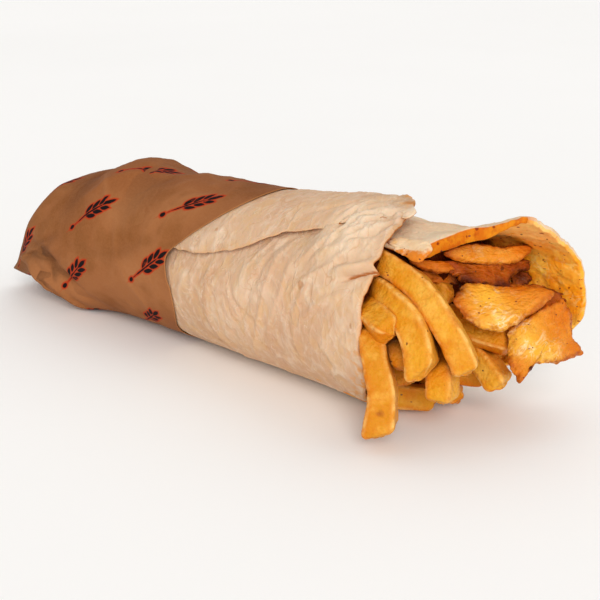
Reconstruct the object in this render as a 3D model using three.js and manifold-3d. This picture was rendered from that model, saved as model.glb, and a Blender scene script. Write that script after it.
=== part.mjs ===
// Lavash wrap lying on its side: a kraft paper sleeve with a folded tail, a rolled flatbread,
// a second flatbread inside it, fries along the near side and chicken along the far side.
// Sizes are millimetres. +Z is up, +X runs along the roll to its open mouth, and -Y is the near side.
// Angles around the roll are in degrees: 0 is the far side, 90 the top, 180 the near side, 270 the floor.

import * as THREE from 'three'
import { ParametricGeometry } from 'three/addons/geometries/ParametricGeometry.js'
import { mergeGeometries, mergeVertices } from 'three/addons/utils/BufferGeometryUtils.js'
import Module from 'manifold-3d'

const wasm = await Module()
wasm.setup()

// Driving sizes of the roll
const mouthRadius = 37
const mouthX = 75
const rollNarrowing = 0.236
const rollWidening = 0.117
const floorLevel = 0.4
const rollShift = [-5.8, 2.4, -floorLevel]

// Driving sizes of the sheets
const breadThickness = 2
const innerBreadThickness = 2.2
const innerBreadLip = 1.1
const sheetGap = 0.5
const lapStep = 2.5
const lapAngle = 34
const lapEase = 25
const breadStations = [-93, -91.5, -60, -30, -12, 0, 12, 24, 37, 50]
const breadRimShares = [0.2, 0.42, 0.64, 0.84, 0.97, 1]
const paperThickness = 0.6
const paperInset = 0.15
const underPaperStep = 1.15
const underPaperEase = 12
const innerSpace = 1.4
const paperEdgeLift = 0.5
const paperEdgeLiftReach = 4
const closureX = -60
const tailX = -130
const paperCapX = -99
const paperCapHeight = 28
const pieceGap = 0.32

// Swellings of the closed end: a hump and a dip on top, and a folded ear with its furrow on the near side
const hump = { x: -57, length: 9, height: 2 }
const dip = { x: -35, length: 8, height: -1 }
const ear = { x: -86, length: 26, angle: 230, spread: 21, height: 5.4 }
const furrow = { x: -81, angle: 200, width: 4, length: 22, height: -2.2, slant: 0.69 }

// Long free edge of the outer bread: its angle at the mouth and how far it turns down towards the paper
const seam = { mouthAngle: 118, turn: 40, middleX: 44, ease: 12 }

// Edge of the paper sleeve along the roll, by angle
const paperEdge = [
  [-90, -5], [-45, 3], [0, 10], [45, 17], [92, 23], [112, 20], [133, 11],
  [150, 1], [165, -7], [187, -4], [204, -4], [234, -9], [270, -5],
]

// How the closed end of the sleeve narrows, as shares of its radius, and how far its underside lifts
const closureWidth = [
  [-130, 0.66], [-128, 0.7], [-122, 0.76], [-115, 0.82], [-105, 0.9], [-90, 0.97], [-75, 1], [-60, 1],
]
const closureHeight = [
  [-130, 0], [-128, 0.09], [-122, 0.27], [-115, 0.5], [-105, 0.71], [-90, 0.87], [-75, 0.95], [-60, 1],
]
const closureLift = [
  [-130, 9.5], [-128, 7], [-122, 4], [-115, 2.5], [-105, 1.2], [-90, 0.2], [-75, 0], [-60, 0],
]

// Rim of the outer bread along the roll, by angle, from its start under the lap to its end on top
const outerRim = [
  [80, 81], [90, 86], [100, 93], [110, 96.5], [120, 96.5], [133, 95.5], [145, 97], [156, 98.5],
  [171, 98.5], [188, 98], [207, 96], [236, 85], [260, 79], [300, 76], [360, 68], [400, 66], [420, 69],
  [430, 75], [440, 81], [450, 86], [460, 93], [480, 97],
]

// Rim of the inner bread: its reach along the roll and its radius, by angle
const innerRimReach = [
  [-95, 82], [-70, 90], [-50, 104], [-39, 112], [-30, 118], [-21, 124], [-12, 129], [-2, 133], [23, 133],
  [48, 132], [72, 131], [78, 130], [84, 126], [92, 122], [99, 118], [108, 114], [121, 109],
  [128, 106],
]
const innerRimRadius = [
  [-95, 34.4], [-70, 34.8], [-50, 36.5], [-39, 38], [-21, 39.3], [-4, 38.5], [6, 37.8], [23, 38.6],
  [48, 36.9], [62, 36.8], [78, 38.4], [84, 37.2], [92, 35], [99, 33.4], [108, 31.8], [121, 31],
  [128, 31],
]
const innerFlareStart = [[-95, 74], [-45, 70], [0, 66], [45, 66], [70, 74], [84, 84], [100, 93], [128, 98]]
const innerFlarePower = 1.4
const pinch = { depth: 3.2, angle: 78, spread: 42, fromX: 62, toX: 84 }
const innerFrom = -95
const innerTo = 128

// Fries: the centre line from inside the roll to the tip, and the side of the square section
const fries = [
  {
    size: 8.9,
    path: [[66, -16, 56], [91, -19, 57], [103, -19, 53], [115, -20, 45], [123, -19, 34], [126.5, -19, 26.5]],
  },
  {
    size: 10.6,
    path: [[66, -18, 47], [92, -22, 48], [100, -24, 46], [107.5, -25, 43], [113, -27, 38], [118, -30, 26]],
  },
  { size: 9.2, path: [[70, -23, 41], [88, -27.5, 43.5], [98, -30, 42.3], [106.5, -32, 41]] },
  {
    size: 9.8,
    path: [
      [66, -20, 34], [86, -25, 38], [98, -29.5, 36.5], [104, -33, 29], [107.5, -36, 20], [106.5, -38.5, 4.6],
    ],
  },
  { size: 8.8, path: [[70, -20, 34], [96, -23, 35], [102, -25, 30], [107.5, -27, 24.5]] },
  {
    size: 9.4,
    path: [[74, -2, 34], [98, -5, 35], [106, -9, 33], [113, -14, 29], [118, -19, 23], [120, -21, 14.6]],
  },
  { size: 9, path: [[62, -20, 12], [82, -14, 7.5], [93, -8, 5.2], [102, -1, 4.9]] },
  { size: 8.6, path: [[66, 4, 18], [90, 4, 9], [107, 6, 5.6]] },
  { size: 8, path: [[66, 4, 25], [95, 6, 15], [105, 11, 10.5], [110, 16, 10]] },
  { size: 9.2, path: [[70, 6, 32], [92, 10, 29], [108, 8, 25], [117, 5, 22], [125, 3, 17]] },
  { size: 8.8, path: [[66, -6, 36], [92, 0, 37], [105, 3, 34.5], [113, 4, 31.6], [124, 8, 29.4]] },
  { size: 8.6, path: [[68, -8, 46], [90, -3, 46], [107, 0, 45]] },
  { size: 8, path: [[70, 12, 26], [94, 15, 25], [115, 18, 20]] },
  { size: 8.6, path: [[64, -14, 22], [90, -17, 22], [104, -16, 17]] },
]
const fryChamfer = 0.3
const fryEndShare = 0.8
const fryEndLength = 1.4
const fryRings = 7

// Chicken slices: the corners of each outline in order, and the thickness in the middle
const slices = [
  {
    name: 'chicken_slice_upper',
    outline: [
      [106, -6, 60], [108, 4, 62], [112, 17, 59], [117, 29, 58], [118, 24, 55], [114, 14, 54], [110, 2, 56],
    ],
    thickness: 3.4,
  },
  {
    name: 'chicken_slice_dark',
    outline: [
      [104, -5, 56], [110, 10, 54], [115, 27, 54], [117, 27, 51], [117, 19, 49], [117, 10, 47], [112, 1, 50],
      [107, -3, 53],
    ],
    thickness: 4,
  },
  {
    name: 'chicken_strip',
    outline: [[101, -17, 59], [106, -3, 56], [108, -2, 54], [104, -12, 55]],
    thickness: 2.6,
  },
  {
    name: 'chicken_shred',
    outline: [[99, -11, 54], [101, -2, 53], [104, 3, 51], [105, 3, 48], [102, -4, 48], [100, -8, 51]],
    thickness: 3,
  },
  {
    name: 'chicken_slice_front',
    outline: [
      [112, -2, 50], [116, 7, 48], [124, 20, 46], [131, 22, 46], [132, 16, 44], [130, 3, 39], [127, -2, 37],
      [121, -8, 40], [115, -10, 45],
    ],
    thickness: 4,
  },
  {
    name: 'chicken_slice_hanging',
    outline: [
      [126, 8, 36], [130, 20, 41], [131, 29, 41], [133, 30, 37], [138, 25, 31], [141, 26, 26], [141, 15, 26],
      [138, 3, 27], [136, -1, 22], [131, 0, 27],
    ],
    thickness: 4,
  },
  {
    name: 'chicken_crisp',
    outline: [[112, 18, 44], [118, 27, 45], [126, 32, 43], [129, 33, 40], [129, 28, 38], [118, 20, 40]],
    thickness: 3,
  },
  {
    name: 'chicken_dark_end',
    outline: [[108, 29, 46], [113, 34, 47], [115, 33, 44], [111, 28, 42]],
    thickness: 3,
  },
]
const breadScrap = {
  name: 'lavash_torn_flap',
  outline: [
    [93, -17.5, 65], [95, -15.5, 66.3], [102, -15, 66.6], [109, -16.5, 65.6], [110.5, -20, 63.5],
    [109.5, -22.5, 61.5], [105, -22, 61.8], [100, -21.5, 62], [96, -20, 63.4],
  ],
  thickness: 1.8,
}

// Cores: the packed fries and the packed chicken inside the roll
const coreBackX = -86
const fryCore = { from: 121, to: 318, frontX: 93 }
const chickenCore = { from: -40, to: 117, frontX: 104 }

// Value of a profile of [position, value] stations, joined by a smooth curve
function readProfile(profile, position) {
  const last = profile.length - 1
  if (position <= profile[0][0]) {
    return profile[0][1]
  }
  if (position >= profile[last][0]) {
    return profile[last][1]
  }
  const next = profile.findIndex(([at]) => at > position)
  const slope = (index) => {
    const before = profile[Math.max(index - 1, 0)]
    const after = profile[Math.min(index + 1, last)]
    return (after[1] - before[1]) / (after[0] - before[0])
  }
  const [fromAt, fromValue] = profile[next - 1]
  const [toAt, toValue] = profile[next]
  const span = toAt - fromAt
  const share = (position - fromAt) / span
  const square = share * share
  const cube = square * share
  return (
    (2 * cube - 3 * square + 1) * fromValue +
    (cube - 2 * square + share) * span * slope(next - 1) +
    (3 * square - 2 * cube) * toValue +
    (cube - square) * span * slope(next)
  )
}

// Angle brought to the range from -90 to 270, so that it reads the profiles that go right round
function aroundOnce(angle) {
  return THREE.MathUtils.euclideanModulo(angle + 90, 360) - 90
}

// Smooth hill of height 1 around a centre
function hill(value, centre, width) {
  const share = (value - centre) / width
  return Math.exp(-share * share)
}

// Radius of the whole roll at a place along it
function rollRadius(x) {
  const back = Math.max(0, (mouthX - x) / 100)
  return mouthRadius * Math.exp(-rollNarrowing * back + rollWidening * back * back)
}

// Swelling of the closed end: a hump and a dip on top, and a folded ear along the near underside
function swell(x, angle) {
  const turn = aroundOnce(angle)
  const topShare = Math.max(0, Math.sin(THREE.MathUtils.degToRad(turn)))
  const [top, low] = [hump, dip].map((form) => form.height * hill(x, form.x, form.length) * topShare)
  const fold = ear.height * hill(turn, ear.angle, ear.spread) * hill(x, ear.x, ear.length)
  const along = x - furrow.x
  const round = THREE.MathUtils.degToRad(turn - furrow.angle) * rollRadius(furrow.x)
  const across = Math.cos(furrow.slant) * round - Math.sin(furrow.slant) * along
  const lengthwise = Math.cos(furrow.slant) * along + Math.sin(furrow.slant) * round
  const groove = furrow.height * hill(across, 0, furrow.width) * hill(lengthwise, 0, furrow.length)
  return (top + low + fold + groove) * THREE.MathUtils.smoothstep(x, tailX, tailX + 20)
}

// Point at a depth under the roll's outside, narrowed towards the closed end and kept above the floor
function rollPoint(x, angle, depth, target, push = 0) {
  const radius = rollRadius(Math.max(x, closureX))
  const turn = THREE.MathUtils.degToRad(angle)
  const width = Math.max(radius * readProfile(closureWidth, x) - depth, 0)
  const height = Math.max(radius * readProfile(closureHeight, x) - depth, 0)
  const bottom = readProfile(closureLift, x) + depth
  const y = (width + push) * Math.cos(turn)
  const z = bottom + height + (height + push) * Math.sin(turn)
  return target.set(x, y, Math.max(z, floorLevel + depth))
}

// How far the breads stand in under the paper
function underPaper(x, angle) {
  const edge = readProfile(paperEdge, aroundOnce(angle))
  const covered = underPaperStep * (1 - THREE.MathUtils.smoothstep(x, edge - 1, edge + underPaperEase))
  return covered + innerSpace * THREE.MathUtils.smoothstep(edge - x, 4, 22)
}

// Angle of the outer bread's long free edge, which runs from the near side to the top of the mouth
function seamAngle(x) {
  return seam.mouthAngle + seam.turn / (1 + Math.exp((x - seam.middleX) / seam.ease))
}

// 1 where two layers of the outer bread lie on each other, easing to 0 past the free edge
function lapShare(x, angle) {
  const edge = seamAngle(x)
  const start = edge - lapAngle - 10
  const rise = THREE.MathUtils.smoothstep(angle, start - lapEase, start)
  const fall = THREE.MathUtils.smoothstep(angle, edge + 1, edge + lapEase)
  return rise * (1 - fall)
}

// Depth of the outer bread's outside, which starts one layer down under its own lap
function outerBreadDepth(x, angle) {
  const start = seamAngle(x) - lapAngle
  const lapped = angle < start + 180 ? lapShare(x, Math.max(angle, start)) : 0
  return underPaper(x, angle) + lapStep * lapped
}

// Depth of the inner bread's outside while it is in the roll
function innerBreadDepth(x, angle) {
  const nearMouth = THREE.MathUtils.smoothstep(x, pinch.fromX, pinch.toX)
  const pinched = pinch.depth * hill(angle, pinch.angle, pinch.spread) * nearMouth
  return underPaper(x, angle) + breadThickness + sheetGap + lapStep * lapShare(x, angle) + pinched
}

// Stations from 0 to 1 with short steps at both ends, where a sheet's edge rounds off
function stationsWithEdges(count, edgeShare) {
  const step = (1 - 2 * edgeShare) / (count - 2)
  const inner = Array.from({ length: count - 1 }, (unused, k) => edgeShare + step * k)
  return [0, ...inner, 1]
}

// Rows of a bread along the roll, each a function of where its rim lies
function breadRows() {
  const last = breadStations[breadStations.length - 1]
  const fixed = breadStations.map((x) => () => x)
  const reaching = breadRimShares.map((share) => (rimX) => last + (rimX - last) * share)
  return [...fixed, ...reaching]
}

// Closed geometry from parametric patches whose borders meet
function closedGeometry(patches) {
  const joined = mergeGeometries(patches)
  joined.deleteAttribute('normal')
  joined.deleteAttribute('uv')
  const welded = mergeVertices(joined, 1e-4)
  const corners = welded.index.array
  const kept = []
  for (let k = 0; k < corners.length; k += 3) {
    const [a, b, c] = [corners[k], corners[k + 1], corners[k + 2]]
    if (a !== b && b !== c && c !== a) {
      kept.push(a, b, c)
    }
  }
  welded.setIndex(facesOut(welded.attributes.position, kept))
  return welded
}

// Triangles turned so that the closed surface they make faces outward
function facesOut(position, corners) {
  const [a, b, c] = [new THREE.Vector3(), new THREE.Vector3(), new THREE.Vector3()]
  let volume = 0
  for (let k = 0; k < corners.length; k += 3) {
    a.fromBufferAttribute(position, corners[k])
    b.fromBufferAttribute(position, corners[k + 1])
    c.fromBufferAttribute(position, corners[k + 2])
    volume += a.dot(b.cross(c))
  }
  return volume > 0 ? corners : corners.slice().reverse()
}

// Thin solid between a front and a back surface, which meet along the border
function sheetGeometry(surface, columns, rows) {
  const columnCount = columns.length - 1
  const rowCount = rows.length - 1
  const patch = (side) => {
    const place = (u, v, target) => {
      const column = Math.round((side > 0 ? u : 1 - u) * columnCount)
      const row = Math.round(v * rowCount)
      const onBorder = column === 0 || column === columnCount || row === 0 || row === rowCount
      surface(columns[column], rows[row], onBorder ? 0 : side, target)
    }
    return new ParametricGeometry(place, columnCount, rowCount)
  }
  return closedGeometry([patch(1), patch(-1)])
}

// Solid tube through rings, each a function of the share of the way round, with pointed or flat ends
function ringGeometry(rings, sides) {
  const last = rings.length - 1
  const place = (u, v, target) => rings[Math.round(u * last)](Math.round(v * sides) % sides, target)
  return closedGeometry([new ParametricGeometry(place, last, sides)])
}

// Manifold solid of a closed geometry
function solidOf(geometry) {
  const mesh = new wasm.Mesh({
    numProp: 3,
    vertProperties: Float32Array.from(geometry.attributes.position.array),
    triVerts: Uint32Array.from(geometry.index.array),
  })
  return new wasm.Manifold(mesh)
}

// Geometry of the largest body of a solid
function geometryOf(solid) {
  const bodies = solid.decompose().sort((a, b) => b.volume() - a.volume())
  const mesh = bodies[0].getMesh()
  const geometry = new THREE.BufferGeometry()
  geometry.setAttribute('position', new THREE.BufferAttribute(mesh.vertProperties, 3))
  geometry.setIndex(new THREE.BufferAttribute(mesh.triVerts, 1))
  return geometry
}

// Outer bread: about one turn and a lap, as columns round the roll and rows along it
function outerBread(grow) {
  const columns = stationsWithEdges(48, 0.003)
  const surface = (round, stationAt, side, target) => {
    const end = seamAngle(stationAt(mouthX)) + 360
    const start = end - 360 - lapAngle
    const angle = start + (end - start) * round
    const x = stationAt(readProfile(outerRim, angle))
    const half = breadThickness / 2 + grow
    rollPoint(x, angle, outerBreadDepth(x, angle) + breadThickness / 2 - half * side, target)
  }
  return sheetGeometry(surface, columns, breadRows())
}

// Inner bread: a scoop that lines the top and the far side and flares out of the mouth
function innerBread(grow) {
  const columns = stationsWithEdges(33, 0.008)
  const surface = (round, stationAt, side, target) => {
    const angle = innerFrom + (innerTo - innerFrom) * round
    const rimX = readProfile(innerRimReach, angle)
    const x = stationAt(rimX)
    const flare = THREE.MathUtils.smoothstep(x, readProfile(innerFlareStart, angle), rimX) ** innerFlarePower
    const rimDepth = rollRadius(x) - readProfile(innerRimRadius, angle)
    const outside = THREE.MathUtils.lerp(innerBreadDepth(x, angle), rimDepth, flare)
    const lip = innerBreadLip * hill(x, rimX, 5) * THREE.MathUtils.smoothstep(angle, 70, 95)
    const half = (innerBreadThickness + lip) / 2
    rollPoint(x, angle, outside + half - (half + grow) * side, target)
  }
  return sheetGeometry(surface, columns, breadRows())
}

// Point of the paper at a depth inside its face, with the sleeve's edge standing off a little
function paperPoint(x, angle, inset, target) {
  const edge = readProfile(paperEdge, aroundOnce(angle))
  const lift = paperEdgeLift * Math.exp(-(edge - x) / paperEdgeLiftReach)
  return rollPoint(x, angle, Math.max(paperInset + inset - lift, inset), target, swell(x, angle))
}

// Paper sleeve: one closed wall from the folded tail along the outside to the edge and back inside
function paperWrap() {
  const outside = [-130, -129, -127, -123, -118, -112, -105, -98, -90, -82, -74, -66, -58, -50, -38, -26]
  const inside = [-26, -44, -58, -74, -86, -95]
  const sides = 44
  const ring = (place) => (side, target) => place((360 * side) / sides, target)
  const outerRing = (x) => ring((angle, target) => paperPoint(x, angle, 0, target))
  const innerRing = (x) => ring((angle, target) => paperPoint(x, angle, paperThickness, target))
  const edgeRing = (back, inset) =>
    ring((angle, target) => {
      const edge = readProfile(paperEdge, aroundOnce(angle))
      return paperPoint(edge - back, angle, inset, target)
    })
  const rings = [
    ...outside.map(outerRing),
    edgeRing(8, 0),
    edgeRing(0.2, 0),
    edgeRing(0, paperThickness / 2),
    edgeRing(0.2, paperThickness),
    edgeRing(8, paperThickness),
    ...inside.map(innerRing),
    (side, target) => target.set(paperCapX, 0, paperCapHeight),
  ]
  return ringGeometry(rings, sides)
}

// Smooth curve through corners given as lists of three numbers
function curveThrough(corners, closed) {
  const points = corners.map((corner) => new THREE.Vector3(...corner))
  return new THREE.CatmullRomCurve3(points, closed, 'centripetal')
}

// One fry: a chamfered square section along its centre line, with slightly smaller cut ends
function fryGeometry({ path, size }, grow) {
  const curve = curveThrough(path, false)
  const reference = new THREE.Vector3(0, -1, 0)
  const half = size / 2 + grow
  const flat = half * (1 - 2 * fryChamfer)
  const section = [
    [half, -flat], [half, flat], [flat, half], [-flat, half],
    [-half, flat], [-half, -flat], [-flat, -half], [flat, -half],
  ]
  const length = curve.getLength()
  const ringAt = (share, scale, push) => {
    const centre = curve.getPointAt(share)
    const ahead = curve.getTangentAt(share)
    const across = new THREE.Vector3().crossVectors(ahead, reference).normalize()
    const up = new THREE.Vector3().crossVectors(across, ahead)
    centre.addScaledVector(ahead, push)
    return (side, target) => {
      target.copy(centre)
      target.addScaledVector(across, section[side][0] * scale)
      target.addScaledVector(up, section[side][1] * scale)
      target.z = Math.max(target.z, floorLevel)
    }
  }
  const endStep = fryEndLength / length
  const middle = Array.from({ length: fryRings - 2 }, (unused, k) => (k + 1) / (fryRings - 1))
  const shares = [endStep, ...middle, 1 - endStep]
  const rings = [
    ringAt(0, 0, -grow),
    ringAt(0, fryEndShare, -grow),
    ...shares.map((share) => ringAt(share, 1, 0)),
    ringAt(1, fryEndShare, grow),
    ringAt(1, 0, grow),
  ]
  return ringGeometry(rings, section.length)
}

// Packed core: an arc of the roll's inside closed by a chord
function coreGeometry({ from, to, frontX }, grow) {
  const arcSides = 14
  const chordSides = 4
  const sides = arcSides + chordSides
  const depthAt = (x, angle) => innerBreadDepth(x, aroundOnce(angle)) + innerBreadThickness + sheetGap - grow
  const corner = (x, side, target) => {
    if (side <= arcSides) {
      const angle = from + ((to - from) * side) / arcSides
      return rollPoint(x, angle, depthAt(x, angle), target)
    }
    const share = (side - arcSides) / chordSides
    const start = rollPoint(x, to, depthAt(x, to), new THREE.Vector3())
    rollPoint(x, from, depthAt(x, from), target)
    return target.lerpVectors(start, target.clone(), share)
  }
  const stations = [0, 0.25, 0.5, 0.75, 0.9, 1].map((share) => coreBackX + (frontX - coreBackX) * share)
  const middle = (x) => {
    const centre = new THREE.Vector3()
    const point = new THREE.Vector3()
    for (let side = 0; side < sides; side += 1) {
      centre.addScaledVector(corner(x, side, point), 1 / sides)
    }
    return (side, target) => target.copy(centre)
  }
  const rings = [
    middle(coreBackX),
    ...stations.map((x) => (side, target) => corner(x, side, target)),
    middle(frontX),
  ]
  return ringGeometry(rings, sides)
}

// Slice: a rounded outline filled from its middle, thickest there and thin at its torn border
function sliceGeometry({ outline, thickness }, grow) {
  const border = curveThrough(outline, true)
  const centre = outline.reduce((sum, corner) => sum.add(new THREE.Vector3(...corner)), new THREE.Vector3())
  centre.divideScalar(outline.length)
  const normal = new THREE.Vector3()
  outline.forEach((corner, index) => {
    const next = outline[(index + 1) % outline.length]
    const first = new THREE.Vector3(...corner).sub(centre)
    const second = new THREE.Vector3(...next).sub(centre)
    normal.add(first.cross(second))
  })
  normal.normalize()
  const sides = 18
  const edge = Array.from({ length: sides }, (unused, k) => border.getPoint(k / sides))
  const reach = edge.map((point) => point.distanceTo(centre))
  const shares = [0, 0.5, 0.88, 1]
  const surface = (share, way) => (side, target) => {
    const stretch = 1 + grow / reach[side]
    const bulge = (thickness / 2 + grow) * Math.sqrt(1 - share ** 6) * way
    target.lerpVectors(centre, edge[side], share * stretch).addScaledVector(normal, bulge)
  }
  const back = shares.map((share) => surface(share, -1))
  const front = shares.slice(0, -1).reverse().map((share) => surface(share, 1))
  return ringGeometry([...back, ...front], sides)
}

// Heap of fries: the packed core with the showing fries fused on
function fryHeap(grow) {
  const whole = fries.map((fry) => solidOf(fryGeometry(fry, grow)))
  return whole.reduce((heap, fry) => heap.add(fry), solidOf(coreGeometry(fryCore, grow)))
}

// Named mesh with its own colour and roughness
function makeMesh(name, geometry, color, roughness) {
  geometry.computeVertexNormals()
  const material = new THREE.MeshStandardMaterial({ color, roughness, metalness: 0 })
  const mesh = new THREE.Mesh(geometry, material)
  mesh.name = name
  return mesh
}

const group = new THREE.Group()
group.position.set(...rollShift)

const sheets = solidOf(outerBread(pieceGap)).add(solidOf(innerBread(pieceGap)))
group.add(makeMesh('paper_wrap', paperWrap(), 0x9c6f4e, 0.8))
group.add(makeMesh('lavash_outer', outerBread(0), 0xe6cfb4, 0.75))
group.add(makeMesh('lavash_inner', innerBread(0), 0xe0ad62, 0.7))

const heap = fryHeap(0).subtract(sheets)
group.add(makeMesh('fries', geometryOf(heap), 0xe0962a, 0.45))

let taken = sheets.add(fryHeap(pieceGap))
const pieces = [breadScrap, ...slices]
for (const piece of pieces) {
  const solid = solidOf(sliceGeometry(piece, 0)).subtract(taken)
  const color = piece === breadScrap ? 0xe8c090 : 0xd9801f
  group.add(makeMesh(piece.name, geometryOf(solid), color, 0.5))
  taken = taken.add(solidOf(sliceGeometry(piece, pieceGap)))
}

const filling = solidOf(coreGeometry(chickenCore, 0)).subtract(taken)
group.add(makeMesh('chicken_filling', geometryOf(filling), 0xc46a1c, 0.55))

export default group
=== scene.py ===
import math
import bpy
import numpy as np
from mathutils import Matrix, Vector
from mathutils.bvhtree import BVHTree


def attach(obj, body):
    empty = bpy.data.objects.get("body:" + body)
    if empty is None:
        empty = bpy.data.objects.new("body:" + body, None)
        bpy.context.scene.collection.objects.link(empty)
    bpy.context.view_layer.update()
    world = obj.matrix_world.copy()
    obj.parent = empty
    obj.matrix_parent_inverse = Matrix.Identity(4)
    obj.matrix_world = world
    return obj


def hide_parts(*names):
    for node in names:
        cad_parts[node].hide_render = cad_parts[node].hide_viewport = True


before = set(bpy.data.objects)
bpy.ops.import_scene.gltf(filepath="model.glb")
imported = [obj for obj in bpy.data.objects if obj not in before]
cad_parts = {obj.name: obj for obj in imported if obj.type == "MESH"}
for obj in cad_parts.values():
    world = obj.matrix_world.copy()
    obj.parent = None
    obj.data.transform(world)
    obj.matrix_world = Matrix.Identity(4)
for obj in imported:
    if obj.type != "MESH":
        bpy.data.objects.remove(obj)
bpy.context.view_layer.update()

# Lavash wrap on a pale floor: kraft paper sleeve, a flatbread rolled round another, fries and chicken.
# Shapes are worked out in millimetres along the roll, and meshMade brings them to metres in the part's frame.
# Angles round the roll are degrees: 0 far side, 90 top, 180 near side, 270 floor.
mm = 0.001


def curveBetween(share, near, far, leave, arrive):
    # smooth curve from near to far, with the slopes that it leaves and arrives with
    square, cube = share**2, share**3
    start = (2 * cube - 3 * square + 1) * near + (cube - 2 * square + share) * leave
    return start + (3 * square - 2 * cube) * far + (cube - square) * arrive


def readProfile(stations, places):
    # smooth curve through (position, value) stations, flat past its ends
    at, value = np.array(stations, float).T
    before = np.r_[0, np.arange(len(at) - 1)]
    after = np.r_[np.arange(1, len(at)), len(at) - 1]
    slope = (value[after] - value[before]) / (at[after] - at[before])
    places = np.clip(places, at[0], at[-1])
    k = np.clip(np.searchsorted(at, places, side="right") - 1, 0, len(at) - 2)
    span = at[k + 1] - at[k]
    share = (places - at[k]) / span
    return curveBetween(share, value[k], value[k + 1], span * slope[k], span * slope[k + 1])


def smoothStep(value, low, high):
    share = np.clip((value - low) / (high - low), 0, 1)
    return share * share * (3 - 2 * share)


def hill(value, centre, width):
    return np.exp(-(((value - centre) / width) ** 2))


def aroundOnce(angle):
    return np.mod(angle + 90, 360) - 90


def splineThrough(corners, count, closed=False):
    # centripetal curve through the corners
    p = np.array(corners, float)
    if closed:
        p = np.concatenate([p[-1:], p, p[:2]])
    else:
        p = np.concatenate([[2 * p[0] - p[1]], p, [2 * p[-1] - p[-2]]])
    spans = len(p) - 3
    t = np.linspace(0, spans, count, endpoint=not closed)
    k = np.minimum(t.astype(int), spans - 1)
    share = (t - k)[:, None]
    p0, p1, p2, p3 = p[k], p[k + 1], p[k + 2], p[k + 3]
    d0, d1, d2 = [np.sqrt(np.linalg.norm(b - a, axis=1))[:, None] for a, b in ((p0, p1), (p1, p2), (p2, p3))]
    leave = ((p1 - p0) / d0 - (p2 - p0) / (d0 + d1) + (p2 - p1) / d1) * d1
    arrive = ((p2 - p1) / d1 - (p3 - p1) / (d1 + d2) + (p3 - p2) / d2) * d1
    return curveBetween(share, p1, p2, leave, arrive)


def softNoise(places, seed, waves=5):
    # wandering line of about -1 to 1, for ragged rims: each wave is shorter and lower than the one before
    draw = np.random.default_rng(seed)
    total = np.zeros_like(places, float)
    for k in range(waves):
        pitch = draw.uniform(0.7, 1.3) * 1.8**k
        total += np.sin(places * pitch + draw.uniform(0, 6.28)) / 1.5**k
    return total / 2


# Roll that all the sheets and fillings follow
roll = {
    "mouthRadius": 37, "mouthX": 75, "narrowing": 0.236, "widening": 0.117,
    "floorLevel": 0.4, "shift": (-5.8, 2.4, -0.4), "closureX": -60, "tailX": -130,
    "closureWidth": [
        (-130, 0.66), (-128, 0.7), (-122, 0.76), (-115, 0.82), (-105, 0.9), (-90, 0.97), (-75, 1), (-60, 1),
    ],
    "closureHeight": [
        (-130, 0), (-128, 0.09), (-122, 0.27), (-115, 0.5), (-105, 0.71), (-90, 0.87), (-75, 0.95), (-60, 1),
    ],
    "closureLift": [
        (-130, 9.5), (-128, 7), (-122, 4), (-115, 2.5), (-105, 1.2), (-90, 0.2), (-75, 0), (-60, 0),
    ],
}


def rollRadius(x):
    back = np.maximum(0, (roll["mouthX"] - x) / 100)
    return roll["mouthRadius"] * np.exp(-roll["narrowing"] * back + roll["widening"] * back**2)


def rollPoint(x, angle, depth, push=0):
    # point at a depth under the roll's outside, narrowed to the closed end and kept above the floor
    radius = rollRadius(np.maximum(x, roll["closureX"]))
    turn = np.radians(angle)
    width = np.maximum(radius * readProfile(roll["closureWidth"], x) - depth, 0)
    height = np.maximum(radius * readProfile(roll["closureHeight"], x) - depth, 0)
    bottom = readProfile(roll["closureLift"], x) + depth
    y = (width + push) * np.cos(turn)
    z = bottom + height + (height + push) * np.sin(turn)
    return np.stack([x + 0 * y, y, np.maximum(z, roll["floorLevel"] + depth)], -1)


def sheetPlaces(x, angle):
    # where a point lies on the unrolled sheet, and which way is out, for the node trees and materials
    turn = np.radians(angle)
    place = np.stack([x, turn * roll["mouthRadius"], 0 * x], -1) * mm
    return place, np.stack([0 * turn, np.cos(turn), np.sin(turn)], -1)


def foldHeight(x, angle, folds):
    # listed folds: each is a ridge or a groove between two places (x, angle), bowed to one side
    radius = rollRadius(x)
    around = np.radians(angle) * radius
    total = np.zeros_like(around)
    for fold in folds:
        ends = np.array([(fx, math.radians(fa) * rollRadius(fx)) for fx, fa in (fold["from"], fold["to"])])
        length = np.linalg.norm(ends[1] - ends[0])
        ahead = (ends[1] - ends[0]) / length
        along = (x - ends[0, 0]) * ahead[0] + (around - ends[0, 1]) * ahead[1]
        across = (around - ends[0, 1]) * ahead[0] - (x - ends[0, 0]) * ahead[1]
        share = np.clip(along / length, 0, 1)
        across = across - fold.get("bow", 0) * 4 * share * (1 - share)
        past = along - share * length
        width = np.where(across > 0, fold["width"] * fold.get("lean", 1), fold["width"])
        total += fold["height"] * np.exp(-((across / width) ** 2) - (past / fold.get("fade", 5)) ** 2)
    return total


# Meshes
def inPart(points):
    # from millimetres along the roll to metres in the part's frame
    return (points + np.array(roll["shift"])) * mm


def newObject(name, data):
    made = bpy.data.objects.new(name, data)
    bpy.context.scene.collection.objects.link(made)
    return made


def keepValues(mesh, values):
    # numbers and vectors on a mesh's points, for the node trees and materials
    for key, value in values.items():
        isVector = value.ndim == 2
        attribute = mesh.attributes.new(key, "FLOAT_VECTOR" if isVector else "FLOAT", "POINT")
        attribute.data.foreach_set("vector" if isVector else "value", value.astype(np.float32).ravel())


def placesOf(mesh):
    places = np.zeros(len(mesh.vertices) * 3, np.float32)
    mesh.vertices.foreach_get("co", places)
    return places.reshape(-1, 3)


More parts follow.
